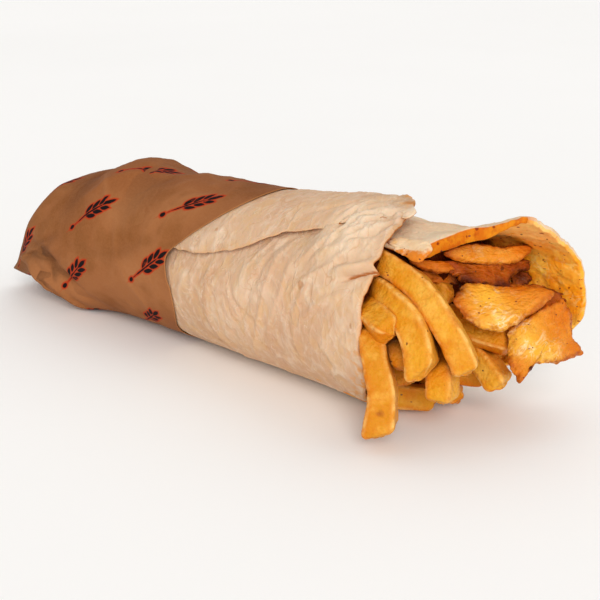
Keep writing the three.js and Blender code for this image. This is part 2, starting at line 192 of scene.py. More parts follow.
def facesTogether(pieces):
    # points and faces of several pieces, numbered as one mesh
    points, faces = [], []
    for piece in pieces:
        first = sum(len(part) for part in points)
        points.append(placesOf(piece.data))
        faces += [[first + corner for corner in face.vertices] for face in piece.data.polygons]
    return np.concatenate(points).tolist(), faces


def meshMade(name, points, quads, fans, values):
    # closed mesh with its faces turned out, in metres in the part's frame
    triangles = np.concatenate([quads[:, [0, 1, 2]], quads[:, [0, 2, 3]], fans])
    a, b, c = [points[triangles[:, k]] for k in range(3)]
    if np.einsum("ij,ij->", a, np.cross(b, c)) < 0:
        quads, fans = quads[:, ::-1], fans[:, ::-1]
    mesh = bpy.data.meshes.new(name)
    mesh.from_pydata(inPart(points).tolist(), [], quads.tolist() + fans.tolist())
    keepValues(mesh, values)
    mesh.polygons.foreach_set("use_smooth", [True] * len(mesh.polygons))
    return newObject(name, mesh)


def gridFaces(index):
    return np.stack([index[:-1, :-1], index[:-1, 1:], index[1:, 1:], index[1:, :-1]], -1).reshape(-1, 4)


def sheetMade(name, front, back, values):
    # front and back skins over one grid, which share the vertices of its border
    rows, columns = front.shape[:2]
    inside = np.zeros((rows, columns), bool)
    inside[1:-1, 1:-1] = True
    frontIndex = np.arange(rows * columns).reshape(rows, columns)
    backIndex = frontIndex.copy()
    backIndex[inside] = rows * columns + np.arange(inside.sum())
    points = np.concatenate([front.reshape(-1, 3), back[inside]])
    quads = np.concatenate([gridFaces(frontIndex), gridFaces(backIndex)[:, ::-1]])
    both = {}
    for key, value in values.items():
        both[key] = np.concatenate([value.reshape((-1,) + value.shape[2:]), value[inside]])
    both["sheetSide"] = np.concatenate([np.where(inside, 1, 0).ravel(), -np.ones(inside.sum())])
    return meshMade(name, points, quads, np.zeros((0, 3), int), both)


def ringsMade(name, rings, hubs, values):
    # closed tube through rings, with a hub point at each end that has one
    rows, columns = rings.shape[:2]
    index = np.arange(rows * columns).reshape(rows, columns)
    points = rings.reshape(-1, 3)
    flat = {key: value.reshape((-1,) + value.shape[2:]) for key, value in values.items()}
    fans = [np.zeros((0, 3), int)]
    for row, hub in zip((0, rows - 1), hubs):
        if hub is None:
            continue
        edge, after = index[row], np.roll(index[row], -1)
        fan = np.stack([np.full(columns, len(points)), edge, after], -1)
        fans.append(fan if row == 0 else fan[:, ::-1])
        points = np.concatenate([points, [hub]])
        flat = {key: np.concatenate([value, value[index[row, :1]]]) for key, value in flat.items()}
    quads = gridFaces(np.concatenate([index, index[:, :1]], 1))[:, ::-1]
    return meshMade(name, points, quads, np.concatenate(fans), flat)


def denseShares(stretches):
    # shares from 0 to 1, with its own count up to each end share
    shares, last = [np.zeros(1)], 0
    for end, count in stretches:
        shares.append(np.linspace(last, end, count + 1)[1:])
        last = end
    return np.concatenate(shares)


def roundedStations(middle, length, edge, steps=4):
    # shares of a length and the share of the thickness at each, with both edges rounded off
    turn = np.linspace(0, math.pi / 2, steps + 1)[:-1]
    near = edge / length * (1 - np.cos(turn))
    inside = edge / length + (1 - 2 * edge / length) * middle
    thick = np.concatenate([np.sin(turn), np.ones(len(middle)), np.sin(turn)[::-1]])
    return np.concatenate([near, inside, 1 - near[::-1]]), thick


# Sheets of the roll: depths under its outside, the angle of the outer bread's free edge and the paper's edge
layers = {
    "breadThickness": 2, "innerThickness": 2.2, "sheetGap": 0.5,
    "lapStep": 2.5, "lapAngle": 34, "lapStart": 10, "lapEase": 25,
    "paperThickness": 0.4, "paperInset": 0.15, "underPaperStep": 0.8, "underPaperFade": (-1, 9),
    "innerSpace": 3.3, "innerSpaceFade": (4, 48),
    "seam": [
        (-100, 158.3), (-20, 158.6), (1, 158.3), (27.4, 150.9), (41, 141), (51.8, 131.8), (58, 128.5),
        (63, 124.5), (67, 117), (71, 111), (76, 107.8), (85, 106), (100, 105.5),
    ],
    "paperEdge": [
        (-90, -5), (-45, 3), (0, 10), (45, 17), (92, 23), (112, 20), (133, 11), (150, 1), (165, -7),
        (187, -4), (204, -5), (234, -13), (270, -11),
    ],
}


def paperEdgeX(angle):
    return readProfile(layers["paperEdge"], aroundOnce(angle))


def underPaper(x, angle):
    # how far the paper presses the bread in
    past = x - paperEdgeX(angle)
    covered = layers["underPaperStep"] * (1 - smoothStep(past, *layers["underPaperFade"]))
    return covered + layers["innerSpace"] * smoothStep(-past, *layers["innerSpaceFade"])


def seamAngle(x):
    return readProfile(layers["seam"], x)


def lapShare(x, angle):
    # 1 where the outer bread lies on itself, 0 beside the lap
    edge = seamAngle(x)
    start = edge - layers["lapAngle"] - layers["lapStart"]
    rise = smoothStep(angle, start - layers["lapEase"], start)
    return rise * (1 - smoothStep(angle, edge + 1, edge + layers["lapEase"]))


def sheetRows(parts):
    # rows along the roll: fixed ones, shares from lastX to the rim, and the share of the thickness of each
    fixed = np.r_[
        np.linspace(parts["backX"], parts["fineX"], parts["coarseRows"])[:-1],
        np.linspace(parts["fineX"], parts["lastX"], parts["fineRows"]),
    ]
    both = np.linspace(0, 1, 2 * parts["rimRows"])
    toRim, rimThick = roundedStations(both, 2 * (parts["meanRimX"] - parts["lastX"]), parts["edgeRound"])
    toRim = (toRim[toRim > 0.5] - 0.5) * 2
    return fixed, toRim, np.r_[0, np.ones(len(fixed) - 1), rimThick[-len(toRim):]]


def rowsToRim(parts, fixed, toRim, rim):
    # place along the roll of every point of a sheet, whose last rows spread out to its ragged rim
    return np.concatenate([
        np.broadcast_to(fixed[:, None], (len(fixed), rim.shape[1])),
        parts["lastX"] + (rim[-len(toRim):] - parts["lastX"]) * toRim[:, None],
    ])


def skinsMade(x, angle, depth, thickness, full, push):
    # front and back of a sheet whose top is at this depth, which meet where full is 0
    thick = full * thickness / 2
    return [rollPoint(x, angle, depth + thickness / 2 + side * thick, push) for side in (-1, 1)]


# Outer bread, one turn and a lap, with its free edge along the top. Its rim is (angle, place along the roll),
# and a fold runs between two places (x, angle).
outerBread = {
    "rim": [
        (80, 81), (90, 85), (98, 89), (104, 92), (110, 93.4), (117, 94.4), (126, 95), (134, 96.4),
        (142, 96.2), (145.4, 97.1), (156, 96.8), (161, 96), (174, 97), (183, 96.6), (191, 96.6), (197, 97.6),
        (207, 96), (215, 94), (238, 85.5), (260, 80), (300, 76), (360, 68), (400, 66), (420, 69), (430, 75),
        (440, 82), (447, 87.5), (451, 88.5), (455, 90.8), (458, 93.6), (461, 95), (465, 94.8), (470, 94),
        (480, 94),
    ],
    "columns": [(0.34, 112), (0.73, 56), (1, 92)], "coarseRows": 16, "fineRows": 92, "rimRows": 60,
    "backX": -93, "fineX": -16, "lastX": 50, "meanRimX": 97,
    "freeEdgeThickness": 0.8, "mouthEdgeThickness": 0.6, "freeEdgeTaper": 12, "thinnedX": (60, 74),
    "flatX": (58, 76), "flatLap": 0.55, "flatSink": 0.8,    # the lap lies flatter at the mouth
    "ragged": 0.35, "raggedPitch": 9, "edgeRound": 0.9,
    "seamRagged": 0.7, "seamPitch": 6, "seamReach": (30, 2),
    "settle": 0.3, "shownPastPaper": (-1, 7), "coveredBeside": 3, "floorFade": (1, 9),
    "foldAtRim": 0.15, "foldFade": (0.5, 8), "crumpleAtRim": 0.25, "crumpleFade": (0.5, 6),
    # the strip mark is painted shade along the top, where the sheet curves away
    "marks": {"lip": (94.5, 461, 6), "knob": (87.5, 451, 3.4), "strip": (76, 451, 13)},    # x, angle, reach
    "folds": [
        {"from": (98, 141.5), "to": (85, 150), "width": 1.6, "height": 1.9, "fade": 5},
        {"from": (96, 137), "to": (84, 145), "width": 1.2, "height": -1.3, "bow": -1, "fade": 4},
        {"from": (95, 131), "to": (76, 142), "width": 1.7, "height": 1.6, "bow": 2, "fade": 6},
        {"from": (93, 126), "to": (82, 135), "width": 1.3, "height": -1.2, "bow": 1.5, "fade": 4},
        {"from": (82, 143), "to": (70, 158), "width": 1.3, "height": 0.9, "bow": -2, "fade": 6},
        {"from": (78, 131), "to": (66, 147), "width": 1.3, "height": 0.8, "bow": 2, "fade": 6},
        {"from": (96, 478), "to": (79, 489), "width": 2.0, "height": 1.3, "fade": 5},
        {"from": (95, 466), "to": (84, 471), "width": 1.6, "height": -1.5, "bow": 1, "fade": 4},
        {"from": (62, 470), "to": (90, 457), "width": 1.4, "height": -0.9, "fade": 6},
        {"from": (88, 449), "to": (60, 446), "width": 1.2, "height": -0.8, "bow": 1.5, "fade": 6},
        {"from": (64, 125), "to": (80, 131), "width": 1.4, "height": 0.8, "fade": 4},
        {"from": (52, 150), "to": (38, 215), "width": 1.1, "height": 0.6, "bow": -3, "fade": 8},
        {"from": (47, 149), "to": (30, 205), "width": 1.6, "height": -0.6, "bow": -3, "fade": 8},
        {"from": (60, 152), "to": (52, 190), "width": 1.1, "height": 0.5, "bow": -2, "fade": 6},
        {"from": (18, 175), "to": (24, 230), "width": 1.8, "height": 0.6, "bow": 4, "fade": 8},
        {"from": (30, 170), "to": (42, 190), "width": 1.1, "height": -0.5, "bow": 2, "fade": 5},
        {"from": (72, 160), "to": (66, 205), "width": 1.2, "height": 0.5, "bow": 3, "fade": 6},
        {"from": (94, 160), "to": (74, 176), "width": 1.2, "height": 0.7, "bow": 2, "fade": 6},
        {"from": (92, 176), "to": (80, 190), "width": 1.2, "height": -0.5, "bow": -2, "fade": 5},
    ],
    "tear": [
        {"from": (99, 144.2), "to": (89, 152.2), "width": 0.8, "height": -3.0, "fade": 3},
        {"from": (99, 140.6), "to": (88, 149), "width": 1.7, "height": 1.0, "fade": 4},
    ],
    "crumple": {"fromX": 60, "toX": 76, "angle": 121, "spread": 27},
    "nodes": {
        "Dent Height": 0.0016, "Dent Size": 0.030, "Crease Height": 0.00055, "Crease Size": 0.026,
        "Crease Sharpness": 17.0, "Crinkle Height": 0.0003, "Crinkle Size": 0.009,
        "Stretch": (1.0, 0.62, 1.0), "Turn": 0.3, "Crumple Height": 0.0030, "Crumple Size": 0.012,
        "Crumple Turn": -0.45, "Crumple Stretch": (1.0, 0.36, 1.0), "Fine Height": 0.0002,
        "Fine Size": 0.0024, "Seed": 3.0,
    },
}


def outerBreadMade():
    parts = outerBread
    turned = 360 + layers["lapAngle"]
    length = math.radians(turned) * roll["mouthRadius"]
    share, columnThick = roundedStations(denseShares(parts["columns"]), length, parts["edgeRound"])
    fixed, toRim, rowThick = sheetRows(parts)

    # angle of each row's points, then their places along the roll, out to the rim at that angle
    along = np.r_[fixed, parts["lastX"] + (roll["mouthX"] - parts["lastX"]) * toRim]
    angle = seamAngle(along)[:, None] + 360 - turned * (1 - share[None, :])
    rim = readProfile(parts["rim"], angle)
    rim += parts["ragged"] * softNoise(np.radians(angle) * parts["raggedPitch"], seed=4)
    x = rowsToRim(parts, fixed, toRim, rim)
    fromFreeEdge = (1 - share[None, :]) * length + 0 * x
    wander = parts["seamRagged"] * softNoise(x / parts["seamPitch"], seed=8, waves=6)
    wander = wander * smoothStep(fromFreeEdge, *parts["seamReach"])
    angle = angle + np.degrees(wander / roll["mouthRadius"])

    # depth and thickness: the lap steps over the turn below, and its edge thins out
    start = seamAngle(x) - layers["lapAngle"]
    lapped = np.where(angle < start + 180, lapShare(x, np.maximum(angle, start)), 0)
    nearMouth = smoothStep(x, *parts["flatX"])
    toEdge = smoothStep(fromFreeEdge, parts["freeEdgeTaper"], 0)
    depth = underPaper(x, angle) + layers["lapStep"] * lapped * (1 - parts["flatLap"] * nearMouth)
    depth = depth + parts["flatSink"] * toEdge * nearMouth
    thinned = smoothStep(x, *parts["thinnedX"])
    edge = parts["freeEdgeThickness"] * (1 - thinned) + parts["mouthEdgeThickness"] * thinned
    thickness = layers["breadThickness"] * (1 - toEdge) + edge * toEdge

    # folds and the tear, only where the bread shows
    uncovered = np.where(angle < seamAngle(x) - parts["coveredBeside"], 0, 1)
    shown = smoothStep(x - paperEdgeX(angle), *parts["shownPastPaper"]) * uncovered
    inward = readProfile(parts["rim"], angle) - x
    rimShare = parts["foldAtRim"] + (1 - parts["foldAtRim"]) * smoothStep(inward, *parts["foldFade"])
    folded = foldHeight(x, angle, parts["folds"]) * rimShare + foldHeight(x, angle, parts["tear"])
    full = np.minimum(rowThick[:, None], columnThick[None, :])
    front, back = skinsMade(x, angle, depth, thickness, full, (folded - parts["settle"]) * shown)

    place, out = sheetPlaces(x, angle)
    crumple = parts["crumple"]
    crumpled = hill(aroundOnce(angle), crumple["angle"], crumple["spread"])
    crumpled = crumpled * smoothStep(x, crumple["fromX"], crumple["toX"])
    rimShare = parts["crumpleAtRim"] + (1 - parts["crumpleAtRim"]) * smoothStep(inward, *parts["crumpleFade"])
    slit = parts["tear"][0]
    offFloor = smoothStep(front[..., 2], *parts["floorFade"])
    values = {
        "sheetPlace": place, "sheetOut": out, "sheetFree": shown * offFloor, "fromRim": inward * mm,
        "fromFreeEdge": fromFreeEdge * mm, "sheetCrumple": crumpled * rimShare,
        "sheetTear": foldHeight(x, angle, [slit]) / slit["height"],
    }
    return sheetMade("lavash_outer_skin", front, back, values)


# Inner bread, a scoop that lines the top and the far side and flares out of the mouth
innerBread = {
    "reach": [
        (-95, 82), (-70, 90), (-50, 104), (-39, 112), (-30, 118.5), (-21, 124.8), (-12, 130), (-2, 134),
        (23, 134), (48, 132.8), (72, 131), (78, 130), (84, 126), (92, 122), (99, 118), (108, 114),
        (121, 109), (128, 106),
    ],
    "rimRadius": [
        (-95, 34.4), (-70, 34.8), (-50, 36.5), (-39, 38.2), (-21, 39.8), (-4, 39.2), (6, 38.6), (23, 39.3),
        (48, 37.3), (62, 36.8), (78, 38.4), (84, 37.6), (92, 36), (99, 35.2), (108, 34.2), (121, 33.6),
        (128, 33.4),
    ],
    "flareStart": [(-95, 74), (-45, 70), (0, 66), (45, 66), (70, 74), (84, 84), (100, 93), (128, 98)],
    "flarePower": 1.4, "lip": 2.6, "lipReach": 5, "lipAngles": (80, 100),
    "pinch": {"depth": 3.2, "angle": 78, "spread": 42, "x": (62, 84)},    # the fillings are pinched with it
    "from": -95, "to": 128, "columns": [(1, 210)], "coarseRows": 26, "fineRows": 36, "rimRows": 105,
    "backX": -93, "fineX": 20, "lastX": 50, "meanRimX": 125,
    "ragged": 0.35, "raggedPitch": 11, "edgeRound": 0.6, "notch": {"angle": 76, "width": 1.6, "depth": 3.0},
    "settle": 0.45, "shownX": (74, 92), "nearSideAngles": (72, 79), "floorFade": (1, 6),
    "folds": [
        {"from": (126, 20), "to": (90, 30), "width": 3, "height": -1.0, "bow": 3, "fade": 8},
        {"from": (130, 50), "to": (92, 52), "width": 4, "height": -0.7, "bow": -3, "fade": 8},
        {"from": (128, -10), "to": (96, 4), "width": 3.4, "height": 0.9, "bow": 3, "fade": 8},
        {"from": (124, 84), "to": (98, 92), "width": 2.4, "height": -0.5, "bow": 1, "fade": 8},
        {"from": (103, 80), "to": (118, 82), "width": 9, "height": -2.5, "fade": 6},
    ],
    "nodes": {
        "Dent Height": 0.0013, "Dent Size": 0.022, "Crease Height": 0.0005, "Crease Size": 0.012,
        "Crease Sharpness": 8.0, "Crinkle Height": 0.0003, "Crinkle Size": 0.006,
        "Stretch": (0.6, 1.0, 1.0), "Turn": 0.0, "Fine Height": 0.00025, "Fine Size": 0.0026, "Seed": 11.0,
    },
}


def pinchAt(x, angle):
    pinch = innerBread["pinch"]
    return pinch["depth"] * hill(angle, pinch["angle"], pinch["spread"]) * smoothStep(x, *pinch["x"])


def underOuterBread(x, angle):
    # depth just under the outer bread
    covered = underPaper(x, angle) + layers["breadThickness"] + layers["sheetGap"]
    return covered + layers["lapStep"] * lapShare(x, angle) + pinchAt(x, angle)


def innerBreadMade():
    parts = innerBread
    length = math.radians(parts["to"] - parts["from"]) * roll["mouthRadius"]
    share, columnThick = roundedStations(denseShares(parts["columns"]), length, parts["edgeRound"])
    fixed, toRim, rowThick = sheetRows(parts)
    angle = parts["from"] + (parts["to"] - parts["from"]) * share[None, :]
    rim = readProfile(parts["reach"], angle)
    notch = parts["notch"]
    ragged = rim + parts["ragged"] * softNoise(np.radians(angle) * parts["raggedPitch"], seed=9)
    ragged = ragged - notch["depth"] * hill(angle, notch["angle"], notch["width"])
    x = rowsToRim(parts, fixed, toRim, ragged)
    angle = angle + 0 * x

    # depth from the place under the outer bread out to the flared rim
    flare = smoothStep(x, readProfile(parts["flareStart"], angle), rim) ** parts["flarePower"]
    rimDepth = rollRadius(x) - readProfile(parts["rimRadius"], angle)
    inRoll = underOuterBread(x, angle)
    depth = inRoll + (rimDepth - inRoll) * flare
    lip = parts["lip"] * hill(x, rim, parts["lipReach"]) * smoothStep(angle, *parts["lipAngles"])
    thickness = layers["innerThickness"] + lip
    shown = smoothStep(x, *parts["shownX"])
    push = (foldHeight(x, angle, parts["folds"]) - parts["settle"]) * shown
    full = np.minimum(rowThick[:, None], columnThick[None, :])
    front, back = skinsMade(x, angle, depth, thickness, full, push)
    place, out = sheetPlaces(x, angle)
    offFloor = smoothStep(front[..., 2], *parts["floorFade"])
    values = {
        "sheetPlace": place, "sheetOut": out, "sheetFree": shown * offFloor,
        "fromRim": (ragged - x) * mm, "nearSide": smoothStep(angle, *parts["nearSideAngles"]),
    }
    return sheetMade("lavash_inner_skin", front, back, values)


# Paper sleeve: one closed wall from the folded tail along the outside to the edge and back inside
paperWrap = {
    "columns": 300, "tailRows": (-130, -129.6, -129, -128, -127, -126), "outsideX": (-125, -26),
    "outsideStep": 0.85, "edgeRows": 40, "rounding": 0.3, "roundTurns": (65, 45, 22, 0, -22, -45, -65),
    "insideRows": 10, "insideReach": 24, "insideX": (-36, -50, -64, -76, -86, -95),
    "capX": -99, "capHeight": 28,
    "swells": [(-53, 9, 0.7), (-36, 9, -1.8), (-76, 10, -2.2)], "tailEase": 20,    # x, length, height
    "ear": {"x": -86, "length": 26, "angle": 230, "spread": 21, "height": 3.9},
    "furrow": {"x": -81, "angle": 200, "width": 4, "length": 22, "height": -2.9, "slant": 0.69},
    "edgeLift": 0.1, "edgeLiftReach": 4,
    "stiffEdge": (1, 12), "stiffTail": (-129, -112), "floorFade": (1, 9), "shadeDepth": 2.4,
    "folds": [
        {
            "from": (-107, 188), "to": (-94, 214), "width": 1.1, "height": 2.4, "bow": -3.5, "fade": 4,
            "lean": 4,
        },
        {
            "from": (-96, 205), "to": (-78, 232), "width": 2.2, "height": 1.7, "bow": -3, "fade": 7,
            "lean": 1.4,
        },
        {"from": (-107, 160), "to": (-94, 126), "width": 6, "height": 1.3, "fade": 6},
        {"from": (-104, 184), "to": (-90, 178), "width": 1.3, "height": 1.2, "fade": 5},
        {"from": (-112, 182), "to": (-100, 198), "width": 1.4, "height": 0.9, "bow": 2, "fade": 5},
        {"from": (-100, 184), "to": (-88, 176), "width": 2.6, "height": -1.4, "fade": 8},
        {"from": (-50, 84), "to": (-44, 118), "width": 2.8, "height": -0.9, "fade": 7},
        {"from": (-30, 96), "to": (-62, 132), "width": 2.6, "height": 0.7, "bow": 4, "fade": 9},
        {"from": (-92, 116), "to": (-102, 152), "width": 6.0, "height": 0.9, "bow": 2, "fade": 7},
        {"from": (-88, 84), "to": (-88, 112), "width": 6.0, "height": -1.0, "fade": 6},
        {"from": (-70, 80), "to": (-76, 106), "width": 4.0, "height": -0.9, "bow": 2, "fade": 7},
        {"from": (-8, 182), "to": (-60, 214), "width": 2.6, "height": 0.5, "bow": 4, "fade": 9},
        {"from": (-24, 160), "to": (-70, 178), "width": 3.2, "height": -0.5, "bow": -4, "fade": 9},
        {"from": (-40, 300), "to": (-112, 330), "width": 2.2, "height": 0.9, "bow": 4, "fade": 9},
        {"from": (-88, 20), "to": (-60, 60), "width": 2.6, "height": 0.9, "bow": -4, "fade": 9},
        {"from": (-100, 40), "to": (-76, 30), "width": 2.2, "height": -1.0, "bow": 3, "fade": 8},
    ],
    # folds along which shade is painted into the paper's colour
    "shadeFolds": [
        {"from": (-99, 186.5), "to": (-86, 190), "width": 1.4, "height": 1.0, "bow": 1, "fade": 3},
        {
            "from": (-86, 190), "to": (-90, 238), "width": 2.6, "height": 1.0, "bow": -2.5, "fade": 5,
            "lean": 0.6,
        },
        {"from": (-99, 196), "to": (-97, 214), "width": 3.2, "height": 0.5, "bow": -1, "fade": 4},
    ],
    # folds along which a highlight is painted into the paper's colour
    "highlightFolds": [
        {"from": (-109, 192), "to": (-101, 228), "width": 1.8, "height": 0.9, "bow": -3, "fade": 5},
    ],
    "nodes": {
        "Dent Height": 0.0016, "Dent Size": 0.030, "Crease Height": 0.0006, "Crease Size": 0.034,
        "Crease Sharpness": 8.0, "Crinkle Height": 0.0001, "Crinkle Size": 0.012,
        "Stretch": (1.0, 0.8, 1.0), "Turn": 0.5, "Fine Height": 0.00006, "Fine Size": 0.004, "Seed": 21.0,
    },
}


def paperSwell(x, angle):
    # hump and dip on top, the folded ear along the near underside and the furrow beside it
    turn = aroundOnce(angle)
    total = sum(height * hill(x, middle, length) for middle, length, height in paperWrap["swells"])
    total = total * np.maximum(0, np.sin(np.radians(turn)))
    ear, furrow = paperWrap["ear"], paperWrap["furrow"]
    total += ear["height"] * hill(turn, ear["angle"], ear["spread"]) * hill(x, ear["x"], ear["length"])
    along = x - furrow["x"]
    around = np.radians(turn - furrow["angle"]) * rollRadius(furrow["x"])
    across = math.cos(furrow["slant"]) * around - math.sin(furrow["slant"]) * along
    lengthwise = math.cos(furrow["slant"]) * along + math.sin(furrow["slant"]) * around
    total += furrow["height"] * hill(across, 0, furrow["width"]) * hill(lengthwise, 0, furrow["length"])
    total += foldHeight(x, turn, paperWrap["folds"])
    return total * smoothStep(x, roll["tailX"], roll["tailX"] + paperWrap["tailEase"])


def paperMade():
    parts = paperWrap
    angle = np.linspace(0, 360, parts["columns"], endpoint=False)[None, :]
    edge = paperEdgeX(angle)
    wall, rounding = layers["paperThickness"], parts["rounding"]

    # rows of (place along the roll, depth in the wall): outside, round the edge and back inside
    tail = np.r_[parts["tailRows"], np.arange(*parts["outsideX"], parts["outsideStep"])]
    toEdge = edge - rounding - tail[-1]
    rows = [(x + 0 * angle, 0.0) for x in tail]
    rows += [(tail[-1] + toEdge * share, 0.0) for share in np.linspace(0, 1, parts["edgeRows"])[1:]]
    outerRows = len(rows)
    for turn in np.radians(parts["roundTurns"]):
        rows.append((edge - rounding * (1 - math.cos(turn)), wall / 2 * (1 - math.sin(turn))))
    backward = np.linspace(0, parts["insideReach"], parts["insideRows"])
    rows += [(edge - rounding - back, wall) for back in backward]
    rows += [(x + 0 * angle, wall) for x in parts["insideX"]]
    x = np.concatenate([row[0] for row in rows])
    inset = np.array([row[1] for row in rows])[:, None]
    turns = angle + 0 * x
    lift = parts["edgeLift"] * np.exp(-(edge - x) / parts["edgeLiftReach"])
    depth = np.maximum(layers["paperInset"] + inset - lift, inset)
    swell = paperSwell(x, turns)
    rings = rollPoint(x, turns, depth, swell)
    place, out = sheetPlaces(x, turns)
    free = smoothStep(edge - x, *parts["stiffEdge"]) * smoothStep(x, *parts["stiffTail"])
    free = free * smoothStep(rings[..., 2], *parts["floorFade"])
    # painted shade along these folds and in the dips of the sheet
    dark = foldHeight(x, turns, parts["shadeFolds"]) - swell / parts["shadeDepth"]
    values = {
        "sheetPlace": place, "sheetOut": out, "sheetFree": free, "fromRim": (edge - x) * mm,
        "sheetSide": (np.arange(len(rows)) < outerRows)[:, None] + 0 * x,
        "sheetShade": np.clip(dark, 0, 1), "sheetHighlight": foldHeight(x, turns, parts["highlightFolds"]),
    }
    return ringsMade("paper_wrap_sleeve", rings, (None, (parts["capX"], 0, parts["capHeight"])), values)


# Geometry Nodes
def addNode(tree, kind, inputs=None, **settings):
    made = tree.nodes.new(kind)
    for key, value in settings.items():
        setattr(made, key, value)
    for key, value in (inputs or {}).items():
        socket = made.inputs[key]
        if isinstance(value, bpy.types.NodeSocket):
            tree.links.new(value, socket)
        else:
            socket.default_value = value
    return made


def calc(tree, operation, *values):
    return addNode(tree, "ShaderNodeMath", dict(enumerate(values)), operation=operation).outputs[0]


def ramp(tree, value, low, high, toLow=0.0, toHigh=1.0):
    made = addNode(tree, "ShaderNodeMapRange", {
        "Value": value, "From Min": low, "From Max": high, "To Min": toLow, "To Max": toHigh,
    }, interpolation_type="SMOOTHSTEP")
    return made.outputs[0]


def noiseAt(tree, place, size, seed, detail=2.0, roughness=0.5, distortion=0.0):
    made = addNode(tree, "ShaderNodeTexNoise", {
        "Vector": place, "W": seed, "Scale": calc(tree, "DIVIDE", 1.0, size), "Detail": detail,
        "Roughness": roughness, "Distortion": distortion,
    }, noise_dimensions="4D")
    return made.outputs["Fac"]


def waveAt(tree, place, size, seed, *rest):
    # noise that swings about zero
    return calc(tree, "SUBTRACT", noiseAt(tree, place, size, seed, *rest), 0.5)


def vectorOf(tree, operation, *values):
    made = addNode(tree, "ShaderNodeVectorMath", dict(enumerate(values)), operation=operation)
    return made.outputs["Value" if operation in ("DOT_PRODUCT", "DISTANCE") else "Vector"]


def addedUp(tree, *waves):
    # each wave times its height
    total = 0.0
    for wave, height in waves:
        total = calc(tree, "MULTIPLY_ADD", wave, height, total)
    return total


def turnedBy(tree, place, turn):
    inputs = {"Vector": place, "Angle": turn}
    return addNode(tree, "ShaderNodeVectorRotate", inputs, rotation_type="Z_AXIS").outputs[0]


def axesOf(tree, place):
    return list(addNode(tree, "ShaderNodeSeparateXYZ", {0: place}).outputs)


def newTree(name, inputs):
    tree = bpy.data.node_groups.new(name, "GeometryNodeTree")
    kinds = {"f": "NodeSocketFloat", "i": "NodeSocketInt", "v": "NodeSocketVector"}
    tree.interface.new_socket("Geometry", in_out="INPUT", socket_type="NodeSocketGeometry")
    for label, kind in inputs:
        tree.interface.new_socket(label, in_out="INPUT", socket_type=kinds[kind])
    tree.interface.new_socket("Material", in_out="INPUT", socket_type="NodeSocketMaterial")
    tree.interface.new_socket("Geometry", in_out="OUTPUT", socket_type="NodeSocketGeometry")
    return tree, tree.nodes.new("NodeGroupInput").outputs, tree.nodes.new("NodeGroupOutput")


def named(tree, name, kind="FLOAT"):
    return addNode(tree, "GeometryNodeInputNamedAttribute", {"Name": name}, data_type=kind).outputs[0]


def stored(tree, geometry, name, value):
    inputs = {"Geometry": geometry, "Name": name, "Value": value}
    return addNode(tree, "GeometryNodeStoreNamedAttribute", inputs).outputs[0]


def pushed(tree, geometry, direction, height):
    offset = addNode(tree, "ShaderNodeVectorMath", {0: direction, "Scale": height}, operation="SCALE")
    inputs = {"Geometry": geometry, "Offset": offset.outputs[0]}
    return addNode(tree, "GeometryNodeSetPosition", inputs).outputs[0]


def finishTree(tree, geometry, material, out):
    realized = addNode(tree, "GeometryNodeRealizeInstances", {"Geometry": geometry}).outputs[0]
    painted = addNode(tree, "GeometryNodeSetMaterial", {"Geometry": realized, "Material": material})
    tree.links.new(painted.outputs[0], out.inputs[0])


def ridgeLines(tree, place, size, seed, sharpness):
    # thin ridges along wandering lines, which fade in and out
    line = calc(tree, "ABSOLUTE", waveAt(tree, place, size, seed, 2.0, 0.45, 1.2))
    ridge = calc(tree, "MAXIMUM", calc(tree, "SUBTRACT", 1.0, calc(tree, "MULTIPLY", line, sharpness)), 0.0)
    presence = noiseAt(tree, place, calc(tree, "MULTIPLY", size, 1.7), calc(tree, "ADD", seed, 40.0), 1.0)
    return calc(tree, "MULTIPLY", calc(tree, "POWER", ridge, 1.5), ramp(tree, presence, 0.38, 0.58))


